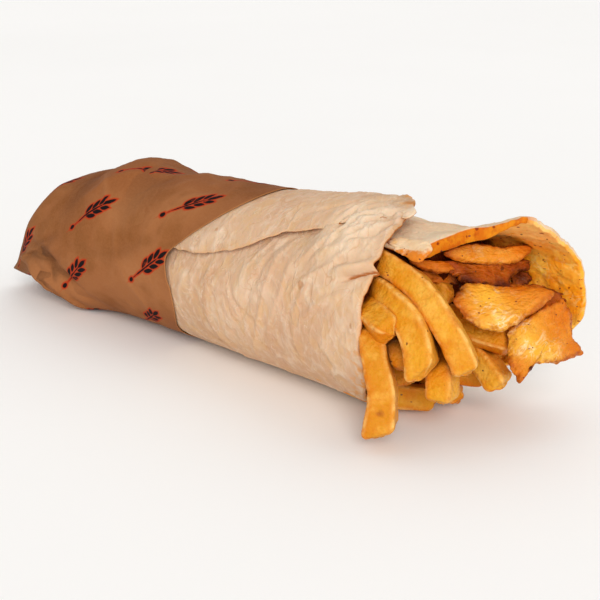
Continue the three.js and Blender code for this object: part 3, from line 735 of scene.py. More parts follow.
def creasedSheetTree():
    # soft dents, creases and crinkles, which push both skins of a sheet the same way
    tree, given, out = newTree("CreasedSheet", [
        ("Dent Height", "f"), ("Dent Size", "f"), ("Crease Height", "f"), ("Crease Size", "f"),
        ("Crease Sharpness", "f"), ("Crinkle Height", "f"), ("Crinkle Size", "f"), ("Stretch", "v"),
        ("Turn", "f"), ("Crumple Height", "f"), ("Crumple Size", "f"), ("Crumple Turn", "f"),
        ("Crumple Stretch", "v"), ("Fine Height", "f"), ("Fine Size", "f"), ("Seed", "f"),
    ])
    place = named(tree, "sheetPlace", "FLOAT_VECTOR")
    spread = vectorOf(tree, "MULTIPLY", turnedBy(tree, place, given["Turn"]), given["Stretch"])
    drawn = vectorOf(tree, "MULTIPLY", turnedBy(tree, place, given["Crumple Turn"]), given["Crumple Stretch"])
    seeds = [calc(tree, "ADD", given["Seed"], step) for step in (0.0, 5.0, 7.0, 9.0, 12.0)]
    dent = waveAt(tree, place, given["Dent Size"], seeds[0], 1.0, 0.4, 0.4)
    crease = ridgeLines(tree, spread, given["Crease Size"], seeds[1], given["Crease Sharpness"])
    crinkle = ridgeLines(tree, spread, given["Crinkle Size"], seeds[2], given["Crease Sharpness"])
    fine = waveAt(tree, place, given["Fine Size"], seeds[3], 2.0, 0.6, 0.8)
    crumpleSize = calc(tree, "MAXIMUM", given["Crumple Size"], 0.001)
    crumple = calc(tree, "ABSOLUTE", waveAt(tree, drawn, crumpleSize, seeds[4], 4.0, 0.55, 1.1))
    crumple = calc(tree, "SUBTRACT", 0.5, calc(tree, "MULTIPLY", crumple, 6.0))
    crumple = calc(tree, "MULTIPLY", crumple, named(tree, "sheetCrumple"))
    height = addedUp(
        tree, (dent, given["Dent Height"]), (crumple, given["Crumple Height"]),
        (crease, given["Crease Height"]), (crinkle, given["Crinkle Height"]), (fine, given["Fine Height"]),
    )
    height = calc(tree, "MULTIPLY", height, named(tree, "sheetFree"))
    moved = pushed(tree, given["Geometry"], named(tree, "sheetOut", "FLOAT_VECTOR"), height)
    ridge = calc(tree, "MAXIMUM", crease, calc(tree, "MULTIPLY", crinkle, 0.7))
    kept = stored(tree, moved, "creaseMask", calc(tree, "MAXIMUM", ridge, crumple))
    # dent mask, which the outer bread's material paints shade into
    hollow = calc(tree, "MINIMUM", dent, calc(tree, "MULTIPLY", crumple, 0.4))
    kept = stored(tree, kept, "dentMask", hollow)
    finishTree(tree, kept, given["Material"], out)
    return tree


def grownWith(piece, tree, values, name):
    # runs the tree on the piece, and gives its result as a plain mesh with no modifier, above the floor
    modifier = piece.modifiers.new(tree.name, "NODES")
    modifier.node_group = tree
    for item in tree.interface.items_tree:
        if item.in_out == "INPUT" and item.name in values:
            modifier[item.identifier] = values[item.name]
    graph = bpy.context.evaluated_depsgraph_get()
    grown = piece.evaluated_get(graph)
    mesh = bpy.data.meshes.new_from_object(grown, preserve_all_data_layers=True, depsgraph=graph)
    piece.modifiers.remove(modifier)
    bpy.data.objects.remove(piece)
    mesh.name = name
    places = placesOf(mesh)
    places[:, 2] = np.maximum(places[:, 2], 0)
    mesh.vertices.foreach_set("co", places.ravel())
    print(name, len(mesh.polygons), "faces")
    return newObject(name, mesh)


# Fries: widths at the root and the tip, turn of the faces, slopes of the cut end, tone (0 yellow, 1 brown)
# and the corners of the middle line
fries = {
    "lines": [
        (9.3, 9.3, 14, (0.1, -0.1), 0.2, [
            (66, -16, 56), (91, -19, 57), (103, -19, 53), (115.4, -19.8, 45), (124, -18.5, 34.4),
            (128, -18, 26.8),
        ]),
        (10, 11, 22, (0.1, -0.7), 0.3, [
            (66, -18, 47), (92, -22, 48), (100, -24, 46), (107.6, -25.4, 42.6), (113.2, -27, 37.4),
            (118.4, -29.6, 26),
        ]),
        (9.3, 9.3, -13, (0.1, 0.02), 0.4, [
            (70, -19, 42), (84, -24.4, 42.2), (92, -27.6, 41.8), (99.8, -30.4, 40.8), (107.8, -32.4, 38.8),
        ]),
        (9, 10.4, 12, (0.1, -0.46), 0.9, [
            (66, -20, 34), (86, -25, 38), (96.6, -30, 36.5), (102.4, -34.2, 29), (106.6, -35.8, 20),
            (107.2, -37.6, 4.4),
        ]),
        (9.2, 9.2, 8, (0.1, 0.2), 0.9, [(70, -20, 34), (96, -22, 37), (103, -24, 32), (109.5, -26, 25)]),
        (9.4, 9.4, 28, (0.1, 0.05), 0.05, [
            (74, -2, 34), (98, -5, 35), (106, -9, 33), (113, -14, 29), (118, -19, 23), (120, -21, 14.6),
        ]),
        (9.2, 9.2, 10, (0.3, 0.2), 0, [(62, -20, 13), (82, -14, 8.4), (93, -8, 6.3), (101.5, -1, 5.9)]),
        (8.6, 8.6, 5, (0.1, -0.2), 0.8, [(66, 4, 18), (90, 4, 9), (107.5, 6.5, 5.8)]),
        (8, 8, 20, (0.3, 0.2), 1, [(66, 4, 26), (95, 6, 16.5), (105, 11, 12.5), (110, 16, 12.4)]),
        (9.2, 9.2, 36, (0.25, 0.1), 0.15, [
            (70, 6, 32), (92, 10, 29), (108, 8, 24.5), (117.6, 5.8, 20.6), (126, 4.2, 15.2),
        ]),
        (8.8, 8.8, -16, (0.1, -0.3), 0.0, [
            (66, -6, 36), (92, 0, 37), (105, 3, 34.5), (113, 4.4, 31.6), (125.2, 9.2, 29.2),
        ]),
        (8.6, 8.6, 20, (0.2, -0.2), 0.05, [(68, -8, 46), (90, -3, 46), (107, 0, 45)]),
        (8, 8, 10, (0.2, 0.2), 1, [(70, 12, 26), (94, 15, 25), (115, 18, 20)]),
        (8.6, 8.6, 20, (0.1, 0.2), 1, [(64, -14, 22), (90, -17, 22), (104, -16, 17)]),
    ],
    "endRounding": 2.5, "endDome": 1.1, "endTurns": (0, 20, 40, 60, 80), "domeShares": (0.03, 0.3, 0.55, 0.8),
    "step": 0.85, "lineSteps": 240, "wander": 0.45, "wanderLength": 14, "wanderSeed": 90,
    "widthDrift": 0.07, "driftLength": 9, "driftSeed": 60, "widening": 40,
    "facing": (0.67, -0.67, 0.33),
    "eye": {"place": (0.1042, -0.0378, 0.0141), "reach": (0.0030, 0.0014), "ragged": 0.0026, "size": 0.0022},
    "nodes": {
        "Sides": 44, "Corner Rounding": 0.42, "Flat Sink": 0.0003, "Lump Height": 0.0019, "Lump Size": 0.011,
        "Skin Height": 0.0006, "Skin Size": 0.0024, "Cut Reach": 0.010, "Seed": 5.0,
    },
}


def fryLines(lines):
    # one chain of edges for each fry, with all that the sweep needs on its points
    edges, values = [], {}
    facing = np.array(fries["facing"])
    for number, (first, last, turn, cut, tone, corners) in enumerate(lines):
        dense = splineThrough(corners, fries["lineSteps"])
        run = np.r_[0, np.cumsum(np.linalg.norm(np.diff(dense, axis=0), axis=1))]
        for axis in range(3):
            seed = fries["wanderSeed"] + 3 * number + axis
            dense[:, axis] += fries["wander"] * softNoise(run / fries["wanderLength"], seed, waves=2)
        half, rounding, dome = first / 2, fries["endRounding"], fries["endDome"]
        cap = [(dome * share**2, (1 - rounding / half) * share) for share in fries["domeShares"]]
        for angle in np.radians(fries["endTurns"]):
            cap.append((dome + rounding * (1 - math.cos(angle)), 1 - rounding / half * (1 - math.sin(angle))))
        near, thin = np.array(cap).T
        edge = dome + rounding
        middle = np.linspace(edge, run[-1] - edge, int(run[-1] / fries["step"]))
        stations = np.concatenate([near, middle, (run[-1] - near)[::-1]])
        wide = np.concatenate([thin, np.ones(len(middle)), thin[::-1]])
        drift = softNoise(stations / fries["driftLength"], fries["driftSeed"] + number, waves=3)
        wide = wide * (1 + fries["widthDrift"] * drift)
        wide = wide * (1 + (last / first - 1) * smoothStep(stations, run[-1] - fries["widening"], run[-1]))
        places = np.stack([np.interp(stations, run, dense[:, k]) for k in range(3)], -1)
        ahead = np.gradient(places, axis=0)
        ahead /= np.linalg.norm(ahead, axis=1, keepdims=True)
        front = facing - ahead * (ahead @ facing)[:, None]
        front /= np.linalg.norm(front, axis=1, keepdims=True)
        aside = np.cross(ahead, front)
        front = front * math.cos(math.radians(turn)) + aside * math.sin(math.radians(turn))
        full = np.ones(len(stations))
        for key, value in {
            "fryPlace": inPart(places), "fryAhead": ahead, "fryFacing": front, "fryRadius": wide * half * mm,
            "fryTip": (run[-1] - stations) * mm, "fryTone": full * tone, "cutUp": full * cut[0],
            "cutSide": full * cut[1],
        }.items():
            values.setdefault(key, []).append(value)
        start = edges[-1][1] + 1 if edges else 0
        edges += [(start + k, start + k + 1) for k in range(len(stations) - 1)]
    values = {key: np.concatenate(parts) for key, parts in values.items()}
    mesh = bpy.data.meshes.new("fry_lines")
    mesh.from_pydata(values["fryPlace"].tolist(), edges, [])
    keepValues(mesh, values)
    return newObject("fry_lines", mesh)


def sweptFriesTree():
    # square section with round corners and hollow flats, swept along each line, cut at its end and made lumpy
    tree, given, out = newTree("SweptFries", [
        ("Sides", "i"), ("Corner Rounding", "f"), ("Flat Sink", "f"), ("Lump Height", "f"),
        ("Lump Size", "f"), ("Skin Height", "f"), ("Skin Size", "f"), ("Cut Reach", "f"), ("Seed", "f"),
    ])
    line = addNode(tree, "GeometryNodeMeshToCurve", {"Mesh": given["Geometry"]})
    facing = named(tree, "fryFacing", "FLOAT_VECTOR")
    line = addNode(tree, "GeometryNodeSetCurveNormal", {
        "Curve": line.outputs[0], "Normal": facing,
    }, mode="FREE")
    square = addNode(tree, "GeometryNodeCurvePrimitiveQuadrilateral", {"Width": 2.0, "Height": 2.0})
    rounded = addNode(tree, "GeometryNodeFilletCurve", {
        "Curve": square.outputs[0], "Radius": given["Corner Rounding"], "Limit Radius": True, "Count": 6,
    }, mode="POLY")
    section = addNode(tree, "GeometryNodeResampleCurve", {
        "Curve": rounded.outputs[0], "Count": given["Sides"],
    })
    swept = addNode(tree, "GeometryNodeCurveToMesh", {
        "Curve": line.outputs[0], "Profile Curve": section.outputs[0], "Scale": named(tree, "fryRadius"),
        "Fill Caps": True,
    }).outputs[0]

    # how far each point lies up and aside from the line, for the slanted cut
    place = addNode(tree, "GeometryNodeInputPosition").outputs[0]
    ahead = named(tree, "fryAhead", "FLOAT_VECTOR")
    away = vectorOf(tree, "SUBTRACT", place, named(tree, "fryPlace", "FLOAT_VECTOR"))
    aside = vectorOf(tree, "CROSS_PRODUCT", facing, ahead)
    up, side = vectorOf(tree, "DOT_PRODUCT", away, facing), vectorOf(tree, "DOT_PRODUCT", away, aside)
    slope = addedUp(tree, (side, named(tree, "cutSide")), (up, named(tree, "cutUp")))
    fade = calc(tree, "SUBTRACT", 1.0, calc(tree, "DIVIDE", named(tree, "fryTip"), given["Cut Reach"]))
    shift = calc(tree, "MULTIPLY", slope, calc(tree, "MAXIMUM", fade, 0.0))

    upSize, sideSize = calc(tree, "ABSOLUTE", up), calc(tree, "ABSOLUTE", side)
    larger = calc(tree, "MAXIMUM", calc(tree, "MAXIMUM", upSize, sideSize), 1e-6)
    corner = calc(tree, "DIVIDE", calc(tree, "MINIMUM", upSize, sideSize), larger)
    swept = stored(tree, swept, "fryCorner", corner)
    swept = stored(tree, swept, "fryAcross", calc(tree, "DIVIDE", side, larger))
    cut = pushed(tree, swept, ahead, shift)
    normal = addNode(tree, "GeometryNodeInputNormal").outputs[0]
    lump = waveAt(tree, place, given["Lump Size"], given["Seed"], 2.0, 0.5)
    skin = waveAt(tree, place, given["Skin Size"], calc(tree, "ADD", given["Seed"], 3.0), 3.0, 0.6)
    height = addedUp(tree, (lump, given["Lump Height"]), (skin, given["Skin Height"]))
    sunk = calc(tree, "MULTIPLY", ramp(tree, named(tree, "fryCorner"), 0.92, 0.6), given["Flat Sink"])
    moved = pushed(tree, cut, normal, calc(tree, "SUBTRACT", height, sunk))
    smooth = addNode(tree, "GeometryNodeSetShadeSmooth", {"Geometry": moved})
    finishTree(tree, smooth.outputs[0], given["Material"], out)
    return tree


# Cores of packed fries and packed chicken inside the roll, in near-black copies of the food materials:
# painted shade in the gaps between the pieces
cores = {
    "fries": {"from": 121, "to": 318, "frontX": 93},
    "chicken": {"from": -40, "to": 117, "frontX": 104},
    "backX": -86, "rows": 60, "arcSides": 60, "chordSides": 24,
    "frontShares": (0.9, 0.78, 0.66, 0.54, 0.42, 0.3, 0.18), "backShares": (0.3, 0.65),
    "nodes": {
        "Lump Height": 0.003, "Lump Size": 0.009, "Fibre Height": 0.0008, "Fibre Size": 0.003,
        "Stretch": (0.5, 1.0, 1.0), "Fine Height": 0.0004, "Fine Size": 0.0014, "Seed": 31.0,
    },
}


def coreMade(name, core):
    arc = np.linspace(core["from"], core["to"], cores["arcSides"] + 1)[None, :]
    along = np.linspace(cores["backX"], core["frontX"], cores["rows"])[:, None] + 0 * arc
    arc = arc + 0 * along
    depth = underOuterBread(along, aroundOnce(arc)) + layers["innerThickness"] + layers["sheetGap"]
    curved = rollPoint(along, arc, depth)
    share = np.linspace(0, 1, cores["chordSides"] + 1)[1:-1][None, :, None]
    chord = curved[:, -1:] * (1 - share) + curved[:, :1] * share
    rings = np.concatenate([curved, chord], 1)
    middle = rings.mean(1, keepdims=True)
    front = [middle[-1:] + (rings[-1:] - middle[-1:]) * near for near in cores["frontShares"]]
    back = [middle[:1] + (rings[:1] - middle[:1]) * near for near in cores["backShares"]]
    rings = np.concatenate(back + [rings] + front)
    values = {"foodPlace": rings * mm, "foodEdge": np.zeros(rings.shape[:2])}
    return ringsMade(name, rings, (middle[0, 0], middle[-1, 0]), values)


def roughFoodTree():
    # lumps, fibres along the first axis of foodPlace and a fine grain, rougher towards a torn edge
    tree, given, out = newTree("RoughFood", [
        ("Lump Height", "f"), ("Lump Size", "f"), ("Fibre Height", "f"), ("Fibre Size", "f"),
        ("Stretch", "v"), ("Fine Height", "f"), ("Fine Size", "f"), ("Seed", "f"),
    ])
    place = named(tree, "foodPlace", "FLOAT_VECTOR")
    spread = vectorOf(tree, "MULTIPLY", place, given["Stretch"])
    seeds = [calc(tree, "ADD", given["Seed"], step) for step in (0.0, 4.0, 8.0)]
    lump = waveAt(tree, place, given["Lump Size"], seeds[0], 2.0, 0.5)
    fibre = waveAt(tree, spread, given["Fibre Size"], seeds[1], 2.0, 0.5, 0.6)
    fine = waveAt(tree, place, given["Fine Size"], seeds[2], 2.0, 0.6)
    fine = calc(tree, "MULTIPLY", fine, ramp(tree, named(tree, "foodEdge"), 0.7, 1.0, 1.0, 1.9))
    height = addedUp(
        tree, (lump, given["Lump Height"]), (fibre, given["Fibre Height"]), (fine, given["Fine Height"]),
    )
    normal = addNode(tree, "GeometryNodeInputNormal").outputs[0]
    finishTree(tree, pushed(tree, given["Geometry"], normal, height), given["Material"], out)
    return tree


# Chicken slices and the torn scrap of bread, each filled from the middle of its outline. Pale, blush and char
# are spots (x, y, z, reach) of another tone.
slices = {
    "chicken_slice_upper": {
        "outline": [
            (106, -6, 60), (108, 4, 62), (112, 17, 59), (117, 29, 58), (118, 24, 55), (114, 14, 54),
            (110, 2, 56),
        ],
        "thickness": 3.4, "ragged": 0.35, "browned": 0.1, "seed": 1,
        "pale": [(112, 9, 60, 13)], "paleness": 0.3, "blush": [(118, 27, 55, 5), (106, -5, 60, 4)],
    },
    "chicken_slice_dark": {
        "outline": [
            (104, -5, 56), (110, 10, 54), (115, 27, 54), (117, 27, 51), (117, 19, 49), (117, 10, 47),
            (112, 1, 50), (107, -3, 53),
        ],
        # well browned, and the depth of its browning is partly painted shade under the upper slice
        "thickness": 4, "ragged": 1.1, "browned": 0.95, "seed": 2, "blush": [(112, 6, 55, 12)],
        "char": [(111, 2, 50, 4.5), (117, 11, 47, 5.5), (117, 20, 48.5, 5), (117, 27, 51, 3)],
    },
    "chicken_strip": {
        "outline": [(101, -17, 59), (106, -3, 56), (108, -2, 54), (104, -12, 55)],
        "thickness": 2.6, "ragged": 0.4, "browned": 0.35, "seed": 3, "blush": [(104, -10, 57, 9)],
    },
    "chicken_shred": {
        "outline": [(99, -11, 54), (101, -2, 53), (104, 3, 51), (105, 3, 48), (102, -4, 48), (100, -8, 51)],
        "thickness": 3, "ragged": 0.6, "browned": 0.45, "seed": 4,
        "blush": [(101, -6, 51, 7)], "char": [(105, 3, 49, 3)],
    },
    "chicken_slice_front": {
        "outline": [
            (112, -2, 50), (116, 7, 48), (124, 20, 46), (131, 22, 46), (132, 16, 44), (130, 3, 39),
            (127, -2, 37), (121, -8, 40), (115, -10, 45),
        ],
        "thickness": 4, "ragged": 0.6, "browned": 0, "seed": 5,
        "pale": [(125, -1, 41, 9), (119, 0, 46, 8)],
        "blush": [(114, -8, 46, 6), (120, 15, 48, 6), (131, 20, 45, 5)], "char": [(113, -6, 50, 3)],
    },
    "chicken_slice_hanging": {
        "outline": [
            (126, 8, 36), (130, 20, 41), (131, 29, 41), (133, 30, 37), (138, 25, 31), (141, 26, 26),
            (141, 15, 26), (138, 3, 27), (136, -1, 22), (131, 0, 27),
        ],
        "thickness": 4, "ragged": 0.8, "browned": 0, "seed": 6, "pale": [(130, 6, 34, 9), (137, 8, 30, 7)],
        "blush": [(132, 28, 38, 8), (140, 25, 27, 6), (133, 0, 25, 4)],
    },
    "chicken_crisp": {
        "outline": [(112, 18, 44), (118, 27, 45), (126, 32, 43), (129, 33, 40), (129, 28, 38), (118, 20, 40)],
        "thickness": 3, "ragged": 0.8, "browned": 0.75, "seed": 7,
        "blush": [(128, 32, 41, 6)], "char": [(124, 30, 43, 4)],
    },
    "chicken_dark_end": {
        "outline": [(108, 29, 46), (113, 34, 47), (115, 33, 44), (111, 28, 42)],
        "thickness": 3, "ragged": 0.5, "browned": 0.9, "seed": 8, "char": [(112, 31, 45, 4)],
    },
    "lavash_torn_flap": {
        "outline": [
            (90.5, -18, 63.8), (95, -15.5, 65), (102, -15, 65.6), (109, -16.5, 65.4), (110.5, -20, 63.5),
            (109.5, -22.5, 61.5), (105, -22, 61.8), (100, -21.5, 62), (96, -20, 63.4),
        ],
        "thickness": 1.8, "ragged": 0.4, "browned": 0, "seed": 9,
    },
}
sliceGrid = {
    "sides": 200, "raggedPitch": 6, "flatness": 7, "patternStep": 20,
    "shares": [0.03, 0.1, 0.2, 0.3, 0.4, 0.5, 0.59, 0.68, 0.76, 0.83, 0.89, 0.935, 0.965, 0.985, 0.996, 1],
    "nodes": {
        "Lump Height": 0.0028, "Lump Size": 0.0085, "Fibre Height": 0.0009, "Fibre Size": 0.0032,
        "Stretch": (0.6, 1.0, 1.0), "Fine Height": 0.0005, "Fine Size": 0.0014, "Seed": 41.0,
    },
}


def sliceMade(name, piece):
    outline = np.array(piece["outline"], float)
    centre = outline.mean(0)
    border = splineThrough(outline, sliceGrid["sides"], closed=True)
    spokes = outline - centre
    normal = np.cross(spokes, np.roll(spokes, -1, 0)).sum(0)
    normal /= np.linalg.norm(normal)
    normal = normal if normal[2] > 0 else -normal
    spread = border - centre
    lift = np.fft.rfft(spread @ normal)
    flat = spread - normal * (spread @ normal)[:, None]
    reach = np.linalg.norm(flat, axis=1)
    turn = np.linspace(0, 2 * math.pi, len(border), endpoint=False)
    ragged = softNoise(np.r_[turn, 2 * math.pi] * sliceGrid["raggedPitch"], piece["seed"], waves=7)
    ragged = ragged - np.linspace(ragged[0], ragged[-1], len(ragged)) + ragged[0]
    ragged = piece["ragged"] * ragged[:-1] / reach
    longest = spokes[np.argmax(np.linalg.norm(spokes, axis=1))]
    longest = longest - normal * (longest @ normal)
    longest /= np.linalg.norm(longest)
    across = np.cross(normal, longest)

    def skin(share, way):
        # each wave of the border's height dies away towards the middle
        height = np.fft.irfft(lift * share ** np.arange(len(lift)), len(border))
        bulge = piece["thickness"] / 2 * math.sqrt(max(1 - share ** sliceGrid["flatness"], 0)) * way
        return centre + flat * (share * (1 + ragged * share**3))[:, None] + normal * (height + bulge)[:, None]

    def spotsOf(tone):
        # 1 at the middle of the nearest spot of this tone
        total = np.zeros(edge.shape)
        for *spot, size in piece.get(tone, []):
            total = np.maximum(total, np.exp(-(((rings - np.array(spot)) ** 2).sum(-1)) / size**2))
        return total

    shares = sliceGrid["shares"]
    rings = np.array([skin(share, -1) for share in shares] + [skin(share, 1) for share in shares[-2::-1]])
    edge = np.array(shares + shares[-2::-1])[:, None] + 0 * turn[None, :]
    way = np.array([-1.0] * (len(shares) - 1) + [0.0] + [1.0] * (len(shares) - 1))[:, None]
    spread = rings - centre
    middle = lift[0].real / len(border)
    pattern = [spread @ longest, spread @ across, spread @ normal + sliceGrid["patternStep"] * piece["seed"]]
    values = {
        "foodPlace": np.stack(pattern, -1) * mm, "foodEdge": edge, "foodUp": way + 0 * edge,
        "foodPale": spotsOf("pale") * piece.get("paleness", 1), "foodBlush": spotsOf("blush"),
        "foodChar": spotsOf("char"), "foodBrown": np.full(edge.shape, float(piece["browned"])),
    }
    hubs = [centre + normal * (middle + piece["thickness"] / 2 * side) for side in (-1, 1)]
    return ringsMade(name + "_cut", rings, hubs, values)


# Chilli and pepper flakes over the cut food
flakes = {
    "share": {"fries": 0.12, "chicken": 0.5, "inside": 0.5}, "rimReach": 0.055,
    "nodes": {"Density": 26000.0, "Flake Size": 0.00042, "Seed": 17},
}


def scatteredFlakesTree():
    # small flat flakes laid on the food where its flakeShare says, as real mesh
    tree, given, out = newTree("ScatteredFlakes", [("Density", "f"), ("Flake Size", "f"), ("Seed", "i")])
    amount = calc(tree, "MULTIPLY", given["Density"], named(tree, "flakeShare"))
    spread = addNode(tree, "GeometryNodeDistributePointsOnFaces", {
        "Mesh": given["Geometry"], "Density": amount, "Seed": given["Seed"],
    })
    ball = addNode(tree, "GeometryNodeMeshIcoSphere", {"Radius": 1.0, "Subdivisions": 1})
    seeds = [calc(tree, "ADD", given["Seed"], step) for step in (1, 2, 3)]
    sizes = []
    for seed, low, high in zip(seeds, (0.5, 0.35, 0.2), (1.5, 0.9, 0.4)):
        pick = addNode(tree, "FunctionNodeRandomValue", {2: low, 3: high, "Seed": seed}, data_type="FLOAT")
        sizes.append(calc(tree, "MULTIPLY", pick.outputs[1], given["Flake Size"]))
    scale = addNode(tree, "ShaderNodeCombineXYZ", dict(enumerate(sizes))).outputs[0]
    placed = addNode(tree, "GeometryNodeInstanceOnPoints", {
        "Points": spread.outputs["Points"], "Instance": ball.outputs[0],
        "Rotation": spread.outputs["Rotation"], "Scale": scale,
    }).outputs[0]
    finishTree(tree, placed, given["Material"], out)
    return tree


def joinedCopy(name, pieces):
    # one mesh of several pieces, each with its share of flakes
    amounts = []
    for piece, share in pieces:
        amount = np.full(len(piece.data.vertices), share, np.float32)
        if "sheetSide" in piece.data.attributes:
            side, rim = np.zeros(len(amount), np.float32), np.zeros(len(amount), np.float32)
            piece.data.attributes["sheetSide"].data.foreach_get("value", side)
            piece.data.attributes["fromRim"].data.foreach_get("value", rim)
            amount *= (side < 0.5) & (rim < flakes["rimReach"])
        amounts.append(amount)
    points, faces = facesTogether([piece for piece, share in pieces])
    joined = bpy.data.meshes.new(name)
    joined.from_pydata(points, [], faces)
    keepValues(joined, {"flakeShare": np.concatenate(amounts)})
    return newObject(name, joined)


# Shader groups, which give masks only
def newMask(name, inputs, outputs=("Mask",)):
    group = bpy.data.node_groups.new(name, "ShaderNodeTree")
    group.interface.new_socket("Vector", in_out="INPUT", socket_type="NodeSocketVector")
    for label, value in inputs.items():
        group.interface.new_socket(label, in_out="INPUT", socket_type="NodeSocketFloat").default_value = value
    for label in outputs:
        group.interface.new_socket(label, in_out="OUTPUT", socket_type="NodeSocketFloat")
    return group, group.nodes.new("NodeGroupInput").outputs, group.nodes.new("NodeGroupOutput").inputs


def patchesGroup():
    # soft patches: 0 below Low, 1 above High
    group, given, out = newMask("SoftPatches", {
        "Size": 0.01, "Seed": 0, "Detail": 3, "Roughness": 0.55, "Low": 0.4, "High": 0.6, "Distortion": 0,
    })
    inputs = [given[key] for key in ("Vector", "Size", "Seed", "Detail", "Roughness", "Distortion")]
    value = noiseAt(group, *inputs)
    group.links.new(ramp(group, value, given["Low"], given["High"]), out["Mask"])
    return group


def veinsGroup():
    # thin wandering lines that come and go
    group, given, out = newMask("WanderingVeins", {
        "Size": 0.01, "Seed": 0, "Width": 0.04, "Distortion": 1.5, "Detail": 2,
    })
    place, size, seed = given["Vector"], given["Size"], given["Seed"]
    wave = waveAt(group, place, size, seed, given["Detail"], 0.5, given["Distortion"])
    line = ramp(group, calc(group, "ABSOLUTE", wave), given["Width"], 0.0)
    presence = noiseAt(group, place, calc(group, "MULTIPLY", size, 1.3), calc(group, "ADD", seed, 30.0), 2.0)
    group.links.new(calc(group, "MULTIPLY", line, ramp(group, presence, 0.42, 0.6)), out["Mask"])
    return group


def spotsGroup(name, dimensions):
    # round spots in a share of the cells, with wandering edges
    group, given, out = newMask(name, {
        "Cell": 0.01, "Seed": 0, "Radius": 0.25, "Softness": 0.15, "Share": 0.3,
    })
    wander = addNode(group, "ShaderNodeTexNoise", {
        "Vector": given["Vector"], "Scale": calc(group, "DIVIDE", 2.5, given["Cell"]), "Detail": 2.0,
    })
    reach = calc(group, "MULTIPLY", given["Cell"], 0.35)
    amount = addNode(group, "ShaderNodeCombineXYZ", {0: reach, 1: reach, 2: reach}).outputs[0]
    shaken = vectorOf(group, "MULTIPLY_ADD", wander.outputs["Color"], amount, given["Vector"])
    offset = addNode(group, "ShaderNodeCombineXYZ", {0: given["Seed"], 1: given["Seed"], 2: 0.0}).outputs[0]
    cells = addNode(group, "ShaderNodeTexVoronoi", {
        "Vector": vectorOf(group, "ADD", shaken, offset), "Scale": calc(group, "DIVIDE", 1.0, given["Cell"]),
    }, voronoi_dimensions=dimensions)
    chosen = addNode(group, "ShaderNodeSeparateColor", {"Color": cells.outputs["Color"]}).outputs
    size = calc(group, "MULTIPLY", given["Radius"], calc(group, "ADD", chosen[1], 0.4))
    spot = ramp(group, cells.outputs["Distance"], size, calc(group, "SUBTRACT", size, given["Softness"]))
    kept = calc(group, "LESS_THAN", chosen[0], given["Share"])
    group.links.new(calc(group, "MULTIPLY", spot, kept), out["Mask"])
    return group


# Printed ear of grain, in metres on the sheet: place along the ear, then half the length and half the width
grainEar = {
    "tilt": -0.85, "stem": (-0.002, 0.0085, 0.0005), "topKernel": (0.0075, 0.003, 0.0012),
    "kernelsAt": (-0.002, 0.0016, 0.0052), "kernelAside": 0.0023, "kernelTilt": 0.6,
    "kernel": (0.0026, 0.0011), "foot": (-0.0125, 0.0011), "wobble": 0.0009, "wobbleSize": 0.003,
}


def printGroup():
    # rows of ears of grain round the sheet, as an ink mask and the glow round it
    group, given, out = newMask("PrintedBands", {
        "Band Pitch": 0.046, "Motif Pitch": 0.032, "Slant": 0.35, "Glow": 0.0013,
    }, ("Ink", "Glow"))
    alongSheet, roundSheet, _ = axesOf(group, given["Vector"])
    slanted = calc(group, "MULTIPLY_ADD", roundSheet, given["Slant"], alongSheet)
    band = calc(group, "DIVIDE", slanted, given["Band Pitch"])
    motif = calc(group, "DIVIDE", roundSheet, given["Motif Pitch"])
    motif = calc(group, "MULTIPLY_ADD", calc(group, "FLOOR", band), 0.5, motif)    # half a step on each row

    def fromMiddle(cell, pitch):
        return calc(group, "MULTIPLY", calc(group, "SUBTRACT", calc(group, "FRACT", cell), 0.5), pitch)

    x, y = fromMiddle(band, given["Band Pitch"]), fromMiddle(motif, given["Motif Pitch"])

    def length(first, second):
        square = calc(group, "MULTIPLY_ADD", first, first, calc(group, "MULTIPLY", second, second))
        return calc(group, "SQRT", square)

    def fromPoint(along, aside):
        # from a place on the ear, turned as the ear is
        cos, sin = math.cos(grainEar["tilt"]), math.sin(grainEar["tilt"])
        centre = (along * cos - aside * sin, along * sin + aside * cos)
        return [calc(group, "SUBTRACT", value, middle) for value, middle in zip((x, y), centre)]

    def leaf(along, aside, turn, halfLength, halfWidth):
        # distance to a shape with two round sides that meet in points
        radius = (halfLength**2 + halfWidth**2) / (2 * halfWidth)
        cos, sin = math.cos(grainEar["tilt"] + turn), math.sin(grainEar["tilt"] + turn)
        right, up = fromPoint(along, aside)
        u = calc(group, "MULTIPLY_ADD", right, cos, calc(group, "MULTIPLY", up, sin))
        v = calc(group, "MULTIPLY_ADD", right, -sin, calc(group, "MULTIPLY", up, cos))
        side = calc(group, "ADD", calc(group, "ABSOLUTE", v), radius - halfWidth)
        return calc(group, "SUBTRACT", length(u, side), radius)

    # stem, kernel at the tip, paired kernels and a dot at the foot
    shapes = [leaf(along, 0, 0, *size) for along, *size in (grainEar["stem"], grainEar["topKernel"])]
    for along in grainEar["kernelsAt"]:
        for side in (-1, 1):
            turn = grainEar["kernelTilt"] * side
            shapes.append(leaf(along, grainEar["kernelAside"] * side, turn, *grainEar["kernel"]))
    footAt, footRadius = grainEar["foot"]
    distance = calc(group, "SUBTRACT", length(*fromPoint(footAt, 0)), footRadius)
    for shape in shapes:
        distance = calc(group, "MINIMUM", distance, shape)
    wobble = waveAt(group, given["Vector"], grainEar["wobbleSize"], 2.0, 2.0)
    distance = calc(group, "MULTIPLY_ADD", wobble, grainEar["wobble"], distance)
    group.links.new(ramp(group, distance, 0.0002, -0.0002), out["Ink"])
    group.links.new(ramp(group, distance, given["Glow"], 0.0002), out["Glow"])
    return group


# Materials
def newMaterial(name, roughness, **settings):
    material = bpy.data.materials.new(name)
    material.use_nodes = True
    tree = material.node_tree
    shader = tree.nodes["Principled BSDF"]
    shader.inputs["Roughness"].default_value = roughness
    for key, value in settings.items():
        shader.inputs[key].default_value = value
    return material, tree, shader


